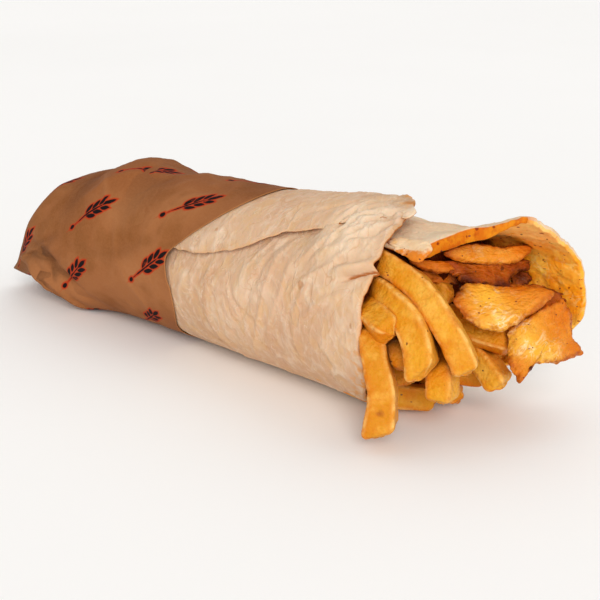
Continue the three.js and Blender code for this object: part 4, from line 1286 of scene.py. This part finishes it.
def mask(tree, group, place, **inputs):
    made = addNode(tree, "ShaderNodeGroup", node_tree=group)
    tree.links.new(place, made.inputs["Vector"])
    for key, value in inputs.items():
        made.inputs[key].default_value = value
    return made.outputs[0]


def grainOf(tree, place, size, seed, detail, distortion=0.0):
    # fine patches over the whole range, for bumps
    return mask(
        tree, patches, place, Size=size, Seed=seed, Detail=detail, Low=0.1, High=0.9, Distortion=distortion,
    )


def attributeOf(tree, name, output="Fac"):
    return addNode(tree, "ShaderNodeAttribute", attribute_name=name).outputs[output]


def objectPlace(tree):
    return addNode(tree, "ShaderNodeTexCoord").outputs["Object"]


def layered(tree, under, *layers):
    # colours laid over one another, each by its mask and strength
    for amount, strength, over in layers:
        made = tree.nodes.new("ShaderNodeMix")
        made.data_type = "RGBA"
        tree.links.new(calc(tree, "MULTIPLY", amount, strength), made.inputs[0])
        for key, value in ((6, under), (7, over)):
            if isinstance(value, bpy.types.NodeSocket):
                tree.links.new(value, made.inputs[key])
            else:
                made.inputs[key].default_value = (*value, 1.0)
        under = made.outputs[2]
    return under


def times(tree, *amounts):
    total = amounts[0]
    for amount in amounts[1:]:
        total = calc(tree, "MULTIPLY", total, amount)
    return total


def closed(tree, low, high):
    # painted shade: how far other food closes off the space over a point, from the attribute that
    # hollowsMarked keeps
    return ramp(tree, attributeOf(tree, "closedIn"), low, high)


def stretchedPlace(tree, place, scale, turn=0.0):
    inputs = {"Vector": place, "Scale": scale, "Rotation": (0, 0, turn)}
    return addNode(tree, "ShaderNodeMapping", inputs).outputs[0]


def nearPlace(tree, place, x, angle, reach):
    # 1 close to a place (x, angle) of the unrolled outer bread, 0 from its reach on
    middle = (x * mm, math.radians(angle) * roll["mouthRadius"] * mm, 0.0)
    return ramp(tree, vectorOf(tree, "DISTANCE", place, middle), reach * mm, 0.4 * reach * mm)


def finishedWith(tree, shader, colour, relief, distance):
    tree.links.new(colour, shader.inputs["Base Color"])
    bump = addNode(tree, "ShaderNodeBump", {"Height": relief, "Distance": distance})
    tree.links.new(bump.outputs[0], shader.inputs["Normal"])


patches, veins, bands = patchesGroup(), veinsGroup(), printGroup()
spots, sheetSpots = spotsGroup("ScatteredSpots", "3D"), spotsGroup("SheetSpots", "2D")


def kraftPaper():
    material, tree, shader = newMaterial("kraft_paper", 0.75, **{"Specular IOR Level": 0.12})
    place = attributeOf(tree, "sheetPlace", "Vector")
    outside = attributeOf(tree, "sheetSide")
    broad = mask(tree, patches, place, Size=0.06, Seed=1, Detail=2, Low=0.35, High=0.65)
    greasy = mask(tree, patches, place, Size=0.024, Seed=2, Detail=3, Low=0.47, High=0.62)
    grain = mask(tree, patches, place, Size=0.0012, Seed=3, Detail=4, Low=0.25, High=0.75)
    worn = mask(tree, patches, place, Size=0.005, Seed=5, Detail=3, Low=0.15, High=0.45)
    printed = addNode(tree, "ShaderNodeGroup", {"Vector": place}, node_tree=bands).outputs
    # painted highlight along the paper's cut edge
    edge = ramp(tree, attributeOf(tree, "fromRim"), 0.0006, 0.0001)
    alongSheet, roundSheet, _ = axesOf(tree, place)
    onTop = ramp(tree, roundSheet, 0.092, 0.062)
    # painted shade, darker towards the folded tail, which faces away from the light
    tailShade = ramp(tree, alongSheet, -0.085, -0.115)
    colour = layered(
        tree, (0.26, 0.088, 0.026),
        (broad, 1.0, (0.345, 0.13, 0.044)),
        (tailShade, 0.85, (0.19, 0.076, 0.027)),
        # painted shade in the paper's folds and dips
        (attributeOf(tree, "sheetShade"), 0.85, (0.10, 0.030, 0.006)),
        # painted highlight along a fold's ridge
        (attributeOf(tree, "sheetHighlight"), 0.55, (0.44, 0.20, 0.11)),
        (onTop, 0.55, (0.20, 0.055, 0.012)),
        (greasy, 0.5, (0.17, 0.052, 0.006)),
        (grain, 0.15, (0.44, 0.19, 0.07)),
        (attributeOf(tree, "creaseMask"), 0.15, (0.48, 0.23, 0.10)),
        (times(tree, printed["Glow"], outside), 0.9, (0.42, 0.028, 0.003)),
        (times(tree, printed["Ink"], outside, worn), 1.0, (0.006, 0.003, 0.003)),
        # painted highlight along the cut edge
        (edge, 0.35, (0.50, 0.24, 0.09)),
    )
    finishedWith(tree, shader, colour, grainOf(tree, place, 0.0009, 7, 4), 0.00007)
    return material


def lavashOutside():
    material, tree, shader = newMaterial("lavash_outside", 0.68, **{
        "Specular IOR Level": 0.3, "Subsurface Weight": 0.08, "Subsurface Scale": 0.002,
    })
    place = attributeOf(tree, "sheetPlace", "Vector")
    drawn = stretchedPlace(tree, place, (1.0, 0.6, 1.0), 0.25)
    broad = mask(tree, patches, place, Size=0.035, Seed=11, Low=0.35, High=0.65)
    cream = mask(tree, patches, place, Size=0.022, Seed=61, Detail=3, Low=0.45, High=0.65)
    tan = mask(tree, patches, drawn, Size=0.013, Seed=13, Detail=4, Low=0.47, High=0.72, Distortion=0.8)
    flaky = mask(tree, patches, drawn, Size=0.007, Seed=12, Detail=4, Low=0.5, High=0.72, Distortion=1.2)
    paleLine = mask(tree, veins, drawn, Size=0.015, Seed=14, Width=0.026, Distortion=1.2)
    finePale = mask(tree, veins, drawn, Size=0.007, Seed=15, Width=0.035, Distortion=1.0)
    stretchMark = mask(tree, veins, drawn, Size=0.009, Seed=62, Width=0.012, Distortion=0.7)
    stretchMark = times(tree, stretchMark, mask(tree, patches, place, Size=0.02, Seed=63, Low=0.45, High=0.6))
    tanLine = mask(tree, veins, drawn, Size=0.016, Seed=16, Width=0.014, Distortion=1.6)
    butter = mask(tree, patches, drawn, Size=0.006, Seed=64, Detail=4, Low=0.46, High=0.64, Distortion=1.0)
    flour = mask(tree, patches, drawn, Size=0.005, Seed=65, Detail=5, Low=0.5, High=0.66, Distortion=1.4)
    toast = mask(tree, sheetSpots, place, Cell=0.013, Seed=17, Radius=0.1, Softness=0.07, Share=0.16)
    crumple = attributeOf(tree, "sheetCrumple")
    # painted highlight along the crease ridges, stronger in the crumpled corner
    creases = times(tree, attributeOf(tree, "creaseMask"), calc(tree, "MULTIPLY_ADD", crumple, 0.55, 0.2))
    # painted shade in the dents of the sheet
    hollow = ramp(tree, attributeOf(tree, "dentMask"), 0.0, -0.16)
    # painted shade along the free edge of the lap, where it steps over the turn below
    seam = ramp(tree, attributeOf(tree, "fromFreeEdge"), 0.0018, 0.0002)
    nearRim = ramp(tree, attributeOf(tree, "fromRim"), 0.010, 0.0)
    alongSheet, roundSheet, _ = axesOf(tree, place)
    lowRim = calc(tree, "MULTIPLY_ADD", ramp(tree, roundSheet, 0.112, 0.135), 0.9, 0.1)
    # painted shade, darker towards the paper end of the roll
    shadeNearPaper = ramp(tree, alongSheet, 0.045, -0.01)
    isInside = ramp(tree, attributeOf(tree, "sheetSide"), 0.3, -0.3)
    rimLine = ramp(tree, attributeOf(tree, "fromRim"), 0.0013, 0.0)
    lip, knob, strip = (nearPlace(tree, place, *outerBread["marks"][key]) for key in ("lip", "knob", "strip"))
    torn = ramp(tree, attributeOf(tree, "sheetTear"), 0.55, 0.85)
    oily = mask(tree, patches, place, Size=0.0032, Seed=18, Detail=4, Low=0.48, High=0.62)
    colour = layered(
        tree, (0.62, 0.375, 0.23),
        (broad, 1.0, (0.66, 0.43, 0.27)),
        (cream, 0.2, (0.72, 0.50, 0.31)),
        (tan, 0.15, (0.53, 0.28, 0.135)),
        # painted shade in the dents
        (hollow, 0.35, (0.50, 0.26, 0.13)),
        (shadeNearPaper, 0.5, (0.47, 0.265, 0.145)),
        (butter, 0.4, (0.67, 0.40, 0.17)),
        (flour, 0.35, (0.76, 0.60, 0.45)),
        (flaky, 0.1, (0.70, 0.50, 0.35)),
        # painted shade in a strip along the top
        (strip, 0.35, (0.50, 0.27, 0.11)),
        (crumple, 0.55, (0.74, 0.56, 0.38)),
        (paleLine, 0.16, (0.86, 0.72, 0.56)),
        (finePale, 0.24, (0.80, 0.65, 0.49)),
        (stretchMark, 0.35, (0.90, 0.78, 0.62)),
        # painted highlight on the crease ridges
        (creases, 1.0, (0.92, 0.82, 0.66)),
        (tanLine, 0.35, (0.48, 0.22, 0.075)),
        (toast, 0.55, (0.40, 0.16, 0.05)),
        # painted shade along the lap's edge
        (seam, 0.3, (0.60, 0.31, 0.11)),
        (rimLine, 0.35, (0.66, 0.36, 0.13)),
        (times(tree, nearRim, oily, lowRim), 0.85, (0.72, 0.28, 0.03)),
        (lip, 0.8, (0.80, 0.64, 0.46)),
        (knob, 0.85, (0.50, 0.19, 0.04)),
        (torn, 0.9, (0.42, 0.11, 0.006)),
        (isInside, 0.85, (0.50, 0.15, 0.012)),
    )
    lines = addedUp(tree, (paleLine, 0.5), (finePale, 0.3), (grainOf(tree, drawn, 0.0024, 19, 6, 0.8), 1.0))
    finishedWith(tree, shader, colour, lines, 0.0003)
    return material


def lavashInside():
    material, tree, shader = newMaterial("lavash_inside", 0.55, **{
        "Specular IOR Level": 0.12, "Subsurface Weight": 0.15, "Subsurface Scale": 0.003,
    })
    place = attributeOf(tree, "sheetPlace", "Vector")
    drawn = stretchedPlace(tree, place, (0.5, 1.0, 1.0))
    outside = layered(
        tree, (0.72, 0.47, 0.28),
        (mask(tree, patches, drawn, Size=0.02, Seed=21, Low=0.35, High=0.65), 1.0, (0.84, 0.64, 0.43)),
        (mask(tree, patches, drawn, Size=0.005, Seed=22, Low=0.45, High=0.7), 0.35, (0.58, 0.34, 0.15)),
        (mask(tree, veins, drawn, Size=0.006, Seed=20, Width=0.04), 0.4, (0.80, 0.66, 0.50)),
    )
    soaked = mask(tree, patches, place, Size=0.010, Seed=23, Detail=5, Low=0.36, High=0.6, Distortion=0.6)
    deep = mask(tree, patches, place, Size=0.006, Seed=24, Detail=5, Low=0.52, High=0.7)
    blistered = mask(tree, veins, place, Size=0.005, Seed=27, Width=0.06)
    spice = mask(tree, sheetSpots, place, Cell=0.0042, Seed=25, Radius=0.15, Softness=0.08, Share=0.35)
    turned = ramp(tree, axesOf(tree, place)[1], 0.018, 0.042)
    inside = layered(
        tree, (0.98, 0.50, 0.06),
        (soaked, 0.9, (0.95, 0.31, 0.002)),
        (deep, 0.5, (0.80, 0.19, 0.001)),
        (blistered, 0.4, (0.98, 0.68, 0.24)),
        (times(tree, turned, calc(tree, "SUBTRACT", 1.0, deep)), 0.5, (0.98, 0.66, 0.28)),
        # painted shade where other food closes in over the inner bread
        (closed(tree, 0.35, 0.7), 0.8, (0.80, 0.21, 0.001)),
        (closed(tree, 0.74, 1.0), 0.95, (0.16, 0.012, 0.001)),
        (spice, 0.8, (0.28, 0.025, 0.001)),
    )
    solid = objectPlace(tree)
    rimLight = mask(tree, patches, solid, Size=0.005, Seed=29, Detail=4, Low=0.42, High=0.62)
    rimDark = mask(tree, patches, solid, Size=0.003, Seed=30, Detail=4, Low=0.52, High=0.66)
    rimSpot = mask(tree, spots, solid, Cell=0.0019, Seed=28, Radius=0.3, Softness=0.14, Share=0.42)
    band = layered(
        tree, (0.60, 0.14, 0.001),
        (rimLight, 0.7, (0.76, 0.28, 0.008)),
        (rimDark, 0.6, (0.45, 0.07, 0.001)),
        (rimSpot, 0.85, (0.20, 0.012, 0.001)),
    )
    rim = times(tree, ramp(tree, attributeOf(tree, "fromRim"), 0.0007, 0.0003), attributeOf(tree, "nearSide"))
    isInside = ramp(tree, attributeOf(tree, "sheetSide"), 0.3, -0.3)
    colour = layered(tree, outside, (isInside, 1.0, inside), (rim, 1.0, band))
    finishedWith(tree, shader, colour, grainOf(tree, place, 0.0022, 26, 6, 0.8), 0.0005)
    return material


# Sauce line on the torn scrap, in metres in the part's frame: dyed from the first y to the second
sauceLine = {"from": -0.0322, "to": -0.0340, "slant": -0.15, "wander": 0.009, "wanderSize": 0.004}


def tornBread():
    material, tree, shader = newMaterial("torn_lavash", 0.55, **{
        "Specular IOR Level": 0.12, "Subsurface Weight": 0.05, "Subsurface Scale": 0.002,
    })
    place = attributeOf(tree, "foodPlace", "Vector")
    solid = objectPlace(tree)
    x, y, _ = axesOf(tree, solid)
    wave = waveAt(tree, solid, sauceLine["wanderSize"], 5.0, 3.0, 0.6)
    line = addedUp(tree, (y, 1.0), (x, sauceLine["slant"]), (wave, sauceLine["wander"]))
    low = ramp(tree, line, sauceLine["from"], sauceLine["to"])
    under = ramp(tree, attributeOf(tree, "foodUp"), 0.2, -0.4)
    dye = calc(tree, "MAXIMUM", low, under)
    spice = mask(tree, spots, place, Cell=0.0022, Seed=71, Radius=0.34, Softness=0.16, Share=0.45)
    colour = layered(
        tree, (0.80, 0.55, 0.32),
        (mask(tree, patches, place, Size=0.006, Seed=72, Low=0.4, High=0.65), 0.6, (0.88, 0.68, 0.46)),
        (mask(tree, patches, place, Size=0.003, Seed=73, Low=0.55, High=0.7), 0.5, (0.84, 0.42, 0.06)),
        (dye, 0.95, (0.72, 0.20, 0.002)),
        # painted shade where other food closes in over the scrap
        (closed(tree, 0.45, 0.9), 0.8, (0.35, 0.05, 0.001)),
        (times(tree, spice, calc(tree, "MULTIPLY_ADD", dye, 0.8, 0.2)), 0.8, (0.40, 0.02, 0.001)),
    )
    finishedWith(tree, shader, colour, grainOf(tree, place, 0.0016, 74, 5), 0.0003)
    return material


def friedPotato(name, shade):
    material, tree, shader = newMaterial(name, 0.42, **{
        "Specular IOR Level": 0.2 - 0.18 * shade, "Subsurface Weight": 0.08, "Subsurface Scale": 0.002,
    })
    place = objectPlace(tree)
    across = attributeOf(tree, "fryAcross")
    tone, toCorner = attributeOf(tree, "fryTone"), attributeOf(tree, "fryCorner")
    corner, side = ramp(tree, toCorner, 0.65, 0.95), ramp(tree, toCorner, 0.3, 0.85)
    eye = fries["eye"]
    fromEye = vectorOf(tree, "DISTANCE", place, eye["place"])
    ragged = noiseAt(tree, place, eye["size"], 39.0, 3.0, 0.6)
    eyeSpot = ramp(tree, addedUp(tree, (fromEye, 1.0), (ragged, eye["ragged"])), *eye["reach"])
    pale = mask(tree, patches, place, Size=0.008, Seed=32, Detail=4, Low=0.45, High=0.68)
    brown = mask(tree, patches, place, Size=0.006, Seed=33, Detail=5, Low=0.5, High=0.72)
    broken = mask(tree, patches, place, Size=0.004, Seed=36, Detail=4, Low=0.4, High=0.6)
    rough = mask(tree, patches, place, Size=0.0016, Seed=37, Detail=4, Low=0.5, High=0.7)
    speck = mask(tree, spots, place, Cell=0.004, Seed=34, Radius=0.11, Softness=0.05, Share=0.25)
    tip = ramp(tree, attributeOf(tree, "fryTip"), 0.0022, 0.0004)
    colour = layered(
        tree, (0.73, 0.275, 0.004),
        (mask(tree, patches, place, Size=0.014, Seed=31, Low=0.35, High=0.65), 0.8, (0.80, 0.37, 0.015)),
        (tone, 0.6, (0.60, 0.19, 0.001)),
        (pale, 0.6, (0.90, 0.51, 0.08)),
        (brown, 0.5, (0.64, 0.15, 0.001)),
        (rough, 0.3, (0.64, 0.17, 0.003)),
        # painted shade towards the rounded edges of each face
        (side, 0.35, (0.66, 0.16, 0.001)),
        # painted shade down one side of each fry and painted light down the other side
        (ramp(tree, across, -0.5, -1.0), 0.5, (0.66, 0.16, 0.001)),
        (ramp(tree, across, 0.45, 1.0), 0.4, (0.90, 0.45, 0.07)),
        # pale broken crust along the corners, partly a painted highlight on the ridges
        (times(tree, corner, broken), 0.6, (0.94, 0.60, 0.18)),
        (times(tree, corner, brown), 0.6, (0.50, 0.13, 0.004)),
        (times(tree, tip, broken), 0.4, (0.60, 0.19, 0.006)),
        # painted shade where other food closes in over the fries
        (closed(tree, 0.2, 0.7), 0.5, (0.68, 0.18, 0.001)),
        (closed(tree, 0.62, 0.97), 0.94, (0.07, 0.006, 0.0003)),
        (speck, 0.8, (0.10, 0.02, 0.002)),
        (eyeSpot, 0.75, (0.34, 0.075, 0.003)),
    )
    # shade lays near black over the whole colour: painted shade for the packed copies seen in the gaps
    shaded = layered(tree, colour, (1.0, shade, (0.05, 0.004, 0.0002)))
    finishedWith(tree, shader, shaded, grainOf(tree, place, 0.0015, 35, 5), 0.0006)
    return material


def grilledChicken(name, shade):
    material, tree, shader = newMaterial(name, 0.42, **{
        "Specular IOR Level": 0.2 - 0.18 * shade, "Subsurface Weight": 0.1, "Subsurface Scale": 0.002,
        "Coat Roughness": 0.12,
    })
    place = attributeOf(tree, "foodPlace", "Vector")
    drawn = stretchedPlace(tree, place, (0.55, 1.0, 1.0))
    paleShare, brownShare = attributeOf(tree, "foodPale"), attributeOf(tree, "foodBrown")
    blushShare = attributeOf(tree, "foodBlush")
    light = mask(tree, patches, place, Size=0.010, Seed=47, Detail=3, Low=0.3, High=0.55)
    fibre = mask(tree, veins, drawn, Size=0.0034, Seed=42, Width=0.07, Detail=3)
    longer = stretchedPlace(tree, place, (0.3, 1.0, 1.0))
    streak = mask(tree, patches, longer, Size=0.003, Seed=50, Low=0.5, High=0.7)
    orange = mask(tree, patches, place, Size=0.007, Seed=41, Detail=4, Low=0.35, High=0.65)
    edge = ramp(tree, attributeOf(tree, "foodEdge"), 0.80, 0.98)
    crisp = mask(tree, patches, place, Size=0.0032, Seed=43, Detail=5, Low=0.36, High=0.6)
    dark = mask(tree, patches, place, Size=0.006, Seed=44, Detail=5, Low=0.35, High=0.65)
    char = mask(tree, patches, place, Size=0.003, Seed=48, Detail=5, Low=0.56, High=0.68)
    char = times(tree, brownShare, calc(tree, "MAXIMUM", char, times(tree, edge, crisp)))
    burnt = times(tree, attributeOf(tree, "foodChar"), calc(tree, "MULTIPLY_ADD", crisp, 0.6, 0.4))
    speck = mask(tree, spots, place, Cell=0.0032, Seed=45, Radius=0.1, Softness=0.06, Share=0.18)
    colour = layered(
        tree, (0.72, 0.19, 0.002),
        (orange, 0.7, (0.84, 0.33, 0.03)),
        (streak, 0.3, (0.88, 0.38, 0.06)),
        (times(tree, paleShare, calc(tree, "MULTIPLY_ADD", light, 0.5, 0.5)), 0.9, (0.95, 0.50, 0.04)),
        (times(tree, paleShare, light, streak), 0.7, (0.98, 0.64, 0.18)),
        (times(tree, paleShare, fibre), 0.85, (1.0, 0.80, 0.46)),
        (blushShare, 0.6, (0.70, 0.16, 0.001)),
        (times(tree, brownShare, calc(tree, "MULTIPLY_ADD", dark, 0.45, 0.6)), 0.95, (0.36, 0.05, 0.001)),
        (times(tree, edge, crisp), 0.8, (0.40, 0.07, 0.001)),
        (char, 0.85, (0.05, 0.006, 0.001)),
        # painted shade where other food closes in over the chicken
        (closed(tree, 0.3, 0.8), 0.5, (0.50, 0.08, 0.001)),
        (closed(tree, 0.62, 0.97), 0.95, (0.05, 0.003, 0.0002)),
        (burnt, 0.9, (0.07, 0.008, 0.001)),
        (speck, 0.75, (0.16, 0.018, 0.001)),
    )
    wet = mask(tree, patches, place, Size=0.0035, Seed=49, Detail=3, Low=0.5, High=0.6)
    wet = times(tree, wet, calc(tree, "MULTIPLY_ADD", paleShare, 0.5, 0.1))
    tree.links.new(wet, shader.inputs["Coat Weight"])
    # shade lays near black over the whole colour: painted shade for the packed copies seen in the gaps
    shaded = layered(tree, colour, (1.0, shade, (0.05, 0.003, 0.0002)))
    finishedWith(tree, shader, shaded, grainOf(tree, drawn, 0.0014, 46, 5), 0.0008)
    return material


def chilliFlake():
    material, tree, shader = newMaterial("chilli_flake", 0.5)
    black = mask(tree, patches, objectPlace(tree), Size=0.003, Seed=81, Low=0.52, High=0.6)
    colour = layered(tree, (0.26, 0.03, 0.002), (black, 0.9, (0.04, 0.01, 0.003)))
    tree.links.new(colour, shader.inputs["Base Color"])
    return material


# Pieces


def setOn(piece, node):
    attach(piece, "root")
    if node:
        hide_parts(node)


def pieceMade(start, tree, parts, material, name, node):
    made = grownWith(start, tree, {**parts["nodes"], "Material": material}, name)
    setOn(made, node)
    return made


kraft, outsideBread, insideBread, tornScrap = kraftPaper(), lavashOutside(), lavashInside(), tornBread()
# the packed copies are the same materials darkened almost to black: painted shade in the gaps
potato, packedPotato = friedPotato("fried_potato", 0.0), friedPotato("packed_potato", 0.95)
chicken, packedMeat = grilledChicken("grilled_chicken", 0.0), grilledChicken("packed_chicken", 0.97)
print("paper, bread, fries and chicken materials ready")
sheetTree, fryTree, foodTree, flakeTree = (
    creasedSheetTree(), sweptFriesTree(), roughFoodTree(), scatteredFlakesTree()
)
print("node trees ready")

pieceMade(paperMade(), sheetTree, paperWrap, kraft, "kraft_sleeve", "paper_wrap")
outer = pieceMade(
    outerBreadMade(), sheetTree, outerBread, outsideBread, "outer_lavash", "lavash_outer",
)
inner = pieceMade(
    innerBreadMade(), sheetTree, innerBread, insideBread, "inner_lavash", "lavash_inner",
)
fryPiece = pieceMade(fryLines(fries["lines"]), fryTree, fries, potato, "potato_fries", "fries")
friesCut = coreMade("fry_core_cut", cores["fries"])
fryCore = pieceMade(friesCut, foodTree, cores, packedPotato, "packed_fries", "fries")
meatCut = coreMade("meat_core_cut", cores["chicken"])
meatCore = pieceMade(meatCut, foodTree, cores, packedMeat, "packed_chicken", "chicken_filling")

# Deep places between the food, where the materials paint shade: sizes in metres
hollows = {"rays": 16, "reach": 0.014, "start": 0.0004, "fromX": 0.058, "smoothing": 2, "goldenTurn": 2.39996}


def hollowsMarked(pieces, others):
    # over each point: the share of short rays that meet food, kept as closedIn for the materials' painted
    # shade
    food = BVHTree.FromPolygons(*facesTogether(pieces + others))
    count = hollows["rays"]
    slope = np.sqrt((np.arange(count) + 0.5) / count)
    turn = np.arange(count) * hollows["goldenTurn"]
    spread = np.stack([slope * np.cos(turn), slope * np.sin(turn), np.sqrt(1 - slope**2)], -1)
    for piece in pieces:
        mesh = piece.data
        places, normals = placesOf(mesh), np.zeros(len(mesh.vertices) * 3, np.float32)
        mesh.vertices.foreach_get("normal", normals)
        normals = normals.reshape(-1, 3)
        closedIn = np.ones(len(places), np.float32)
        aside = np.cross(normals, np.where(np.abs(normals[:, 2:]) < 0.9, (0, 0, 1), (1, 0, 0)))
        aside /= np.maximum(np.linalg.norm(aside, axis=1, keepdims=True), 1e-6)
        across = np.cross(normals, aside)
        starts = places + normals * hollows["start"]
        for k in np.nonzero(places[:, 0] > hollows["fromX"])[0]:
            start = Vector(starts[k])
            rays = spread @ np.stack([aside[k], across[k], normals[k]])
            met = sum(food.ray_cast(start, Vector(ray), hollows["reach"])[0] is not None for ray in rays)
            closedIn[k] = met / count
        edges = np.empty(len(mesh.edges) * 2, np.int32)
        mesh.edges.foreach_get("vertices", edges)
        edges = edges.reshape(-1, 2)
        near = np.bincount(edges.ravel(), minlength=len(closedIn)) + 1.0
        for _ in range(hollows["smoothing"]):
            total = closedIn + np.bincount(edges[:, 0], closedIn[edges[:, 1]], len(closedIn))
            closedIn = (total + np.bincount(edges[:, 1], closedIn[edges[:, 0]], len(closedIn))) / near
        keepValues(mesh, {"closedIn": closedIn})
    print("hollows marked on", len(pieces), "pieces")


cookedSlices = []
for name, cut in slices.items():
    finish, slot = (tornScrap, "lavash_inside") if name == "lavash_torn_flap" else (chicken, "chicken")
    made = pieceMade(sliceMade(name, cut), foodTree, sliceGrid, finish, name + "_cooked", name)
    cookedSlices.append(made)

hollowsMarked([fryPiece, fryCore, meatCore, inner] + cookedSlices, [outer])

shares = flakes["share"]
dusted = [(fryPiece, shares["fries"]), (inner, shares["inside"])]
dusted += [(made, shares["chicken"]) for made in cookedSlices]
dustedFood = joinedCopy("dusted_food", dusted)
pieceMade(dustedFood, flakeTree, flakes, chilliFlake(), "chilli_flakes", None)


# Floor, lights and camera
studio = {
    "floorReach": 30,
    "key": {"from": (0.76, -0.62, 0.56), "strength": 1.65, "spread": 28, "colour": (1.0, 0.97, 0.93)},
    "fill": {"from": (0.5, -0.85, 0.16), "strength": 0.7, "spread": 50, "colour": (1.0, 0.97, 0.93)},
    "back": {"from": (-0.2, 0.9, 1.3), "strength": 0.55, "spread": 60, "colour": (1.0, 0.99, 0.98)},
    "world": 0.55, "worldColour": (1.0, 0.99, 0.98, 1.0),
    "camera": {
        "place": (0.35462, -0.32462, 0.17508), "target": (0.0276, 0.0024, 0.0257),
        "lens": 76.86, "sensor": 36,
    },
}


def stageMade():
    far = studio["floorReach"]
    mesh = bpy.data.meshes.new("pale_floor")
    mesh.from_pydata([(-far, -far, 0), (far, -far, 0), (far, far, 0), (-far, far, 0)], [], [(0, 1, 2, 3)])
    floor = newObject("pale_floor", mesh)
    material, tree, shader = newMaterial("pale_ground", 0.9)
    cloudy = mask(tree, patches, objectPlace(tree), Size=0.4, Seed=91, Low=0.3, High=0.7)
    colour = layered(tree, (0.955, 0.955, 0.95), (cloudy, 1.0, (0.97, 0.97, 0.967)))
    tree.links.new(colour, shader.inputs["Base Color"])
    mesh.materials.append(material)


def facingFrom(place, target):
    return (Vector(target) - Vector(place)).to_track_quat("-Z", "Y").to_euler()


def lightsMade():
    for name in ("key", "fill", "back"):
        kind = studio[name]
        lamp = bpy.data.lights.new("soft_" + name, "SUN")
        lamp.energy, lamp.color, lamp.angle = kind["strength"], kind["colour"], math.radians(kind["spread"])
        holder = newObject("soft_" + name, lamp)
        holder.location = kind["from"]
        holder.rotation_euler = facingFrom(kind["from"], (0, 0, 0))
    world = bpy.data.worlds.new("studio")
    world.use_nodes = True
    sky = world.node_tree.nodes["Background"].inputs
    sky["Color"].default_value, sky["Strength"].default_value = studio["worldColour"], studio["world"]
    bpy.context.scene.world = world
    bpy.context.scene.view_settings.view_transform = "Standard"


def cameraMade():
    view = studio["camera"]
    camera = bpy.data.cameras.new("photo_camera")
    camera.lens, camera.sensor_width, camera.clip_start = view["lens"], view["sensor"], 0.01
    holder = newObject("photo_camera", camera)
    holder.location = view["place"]
    holder.rotation_euler = facingFrom(view["place"], view["target"])
    bpy.context.scene.camera = holder


stageMade()
lightsMade()
cameraMade()
print("stage, lights and camera set")
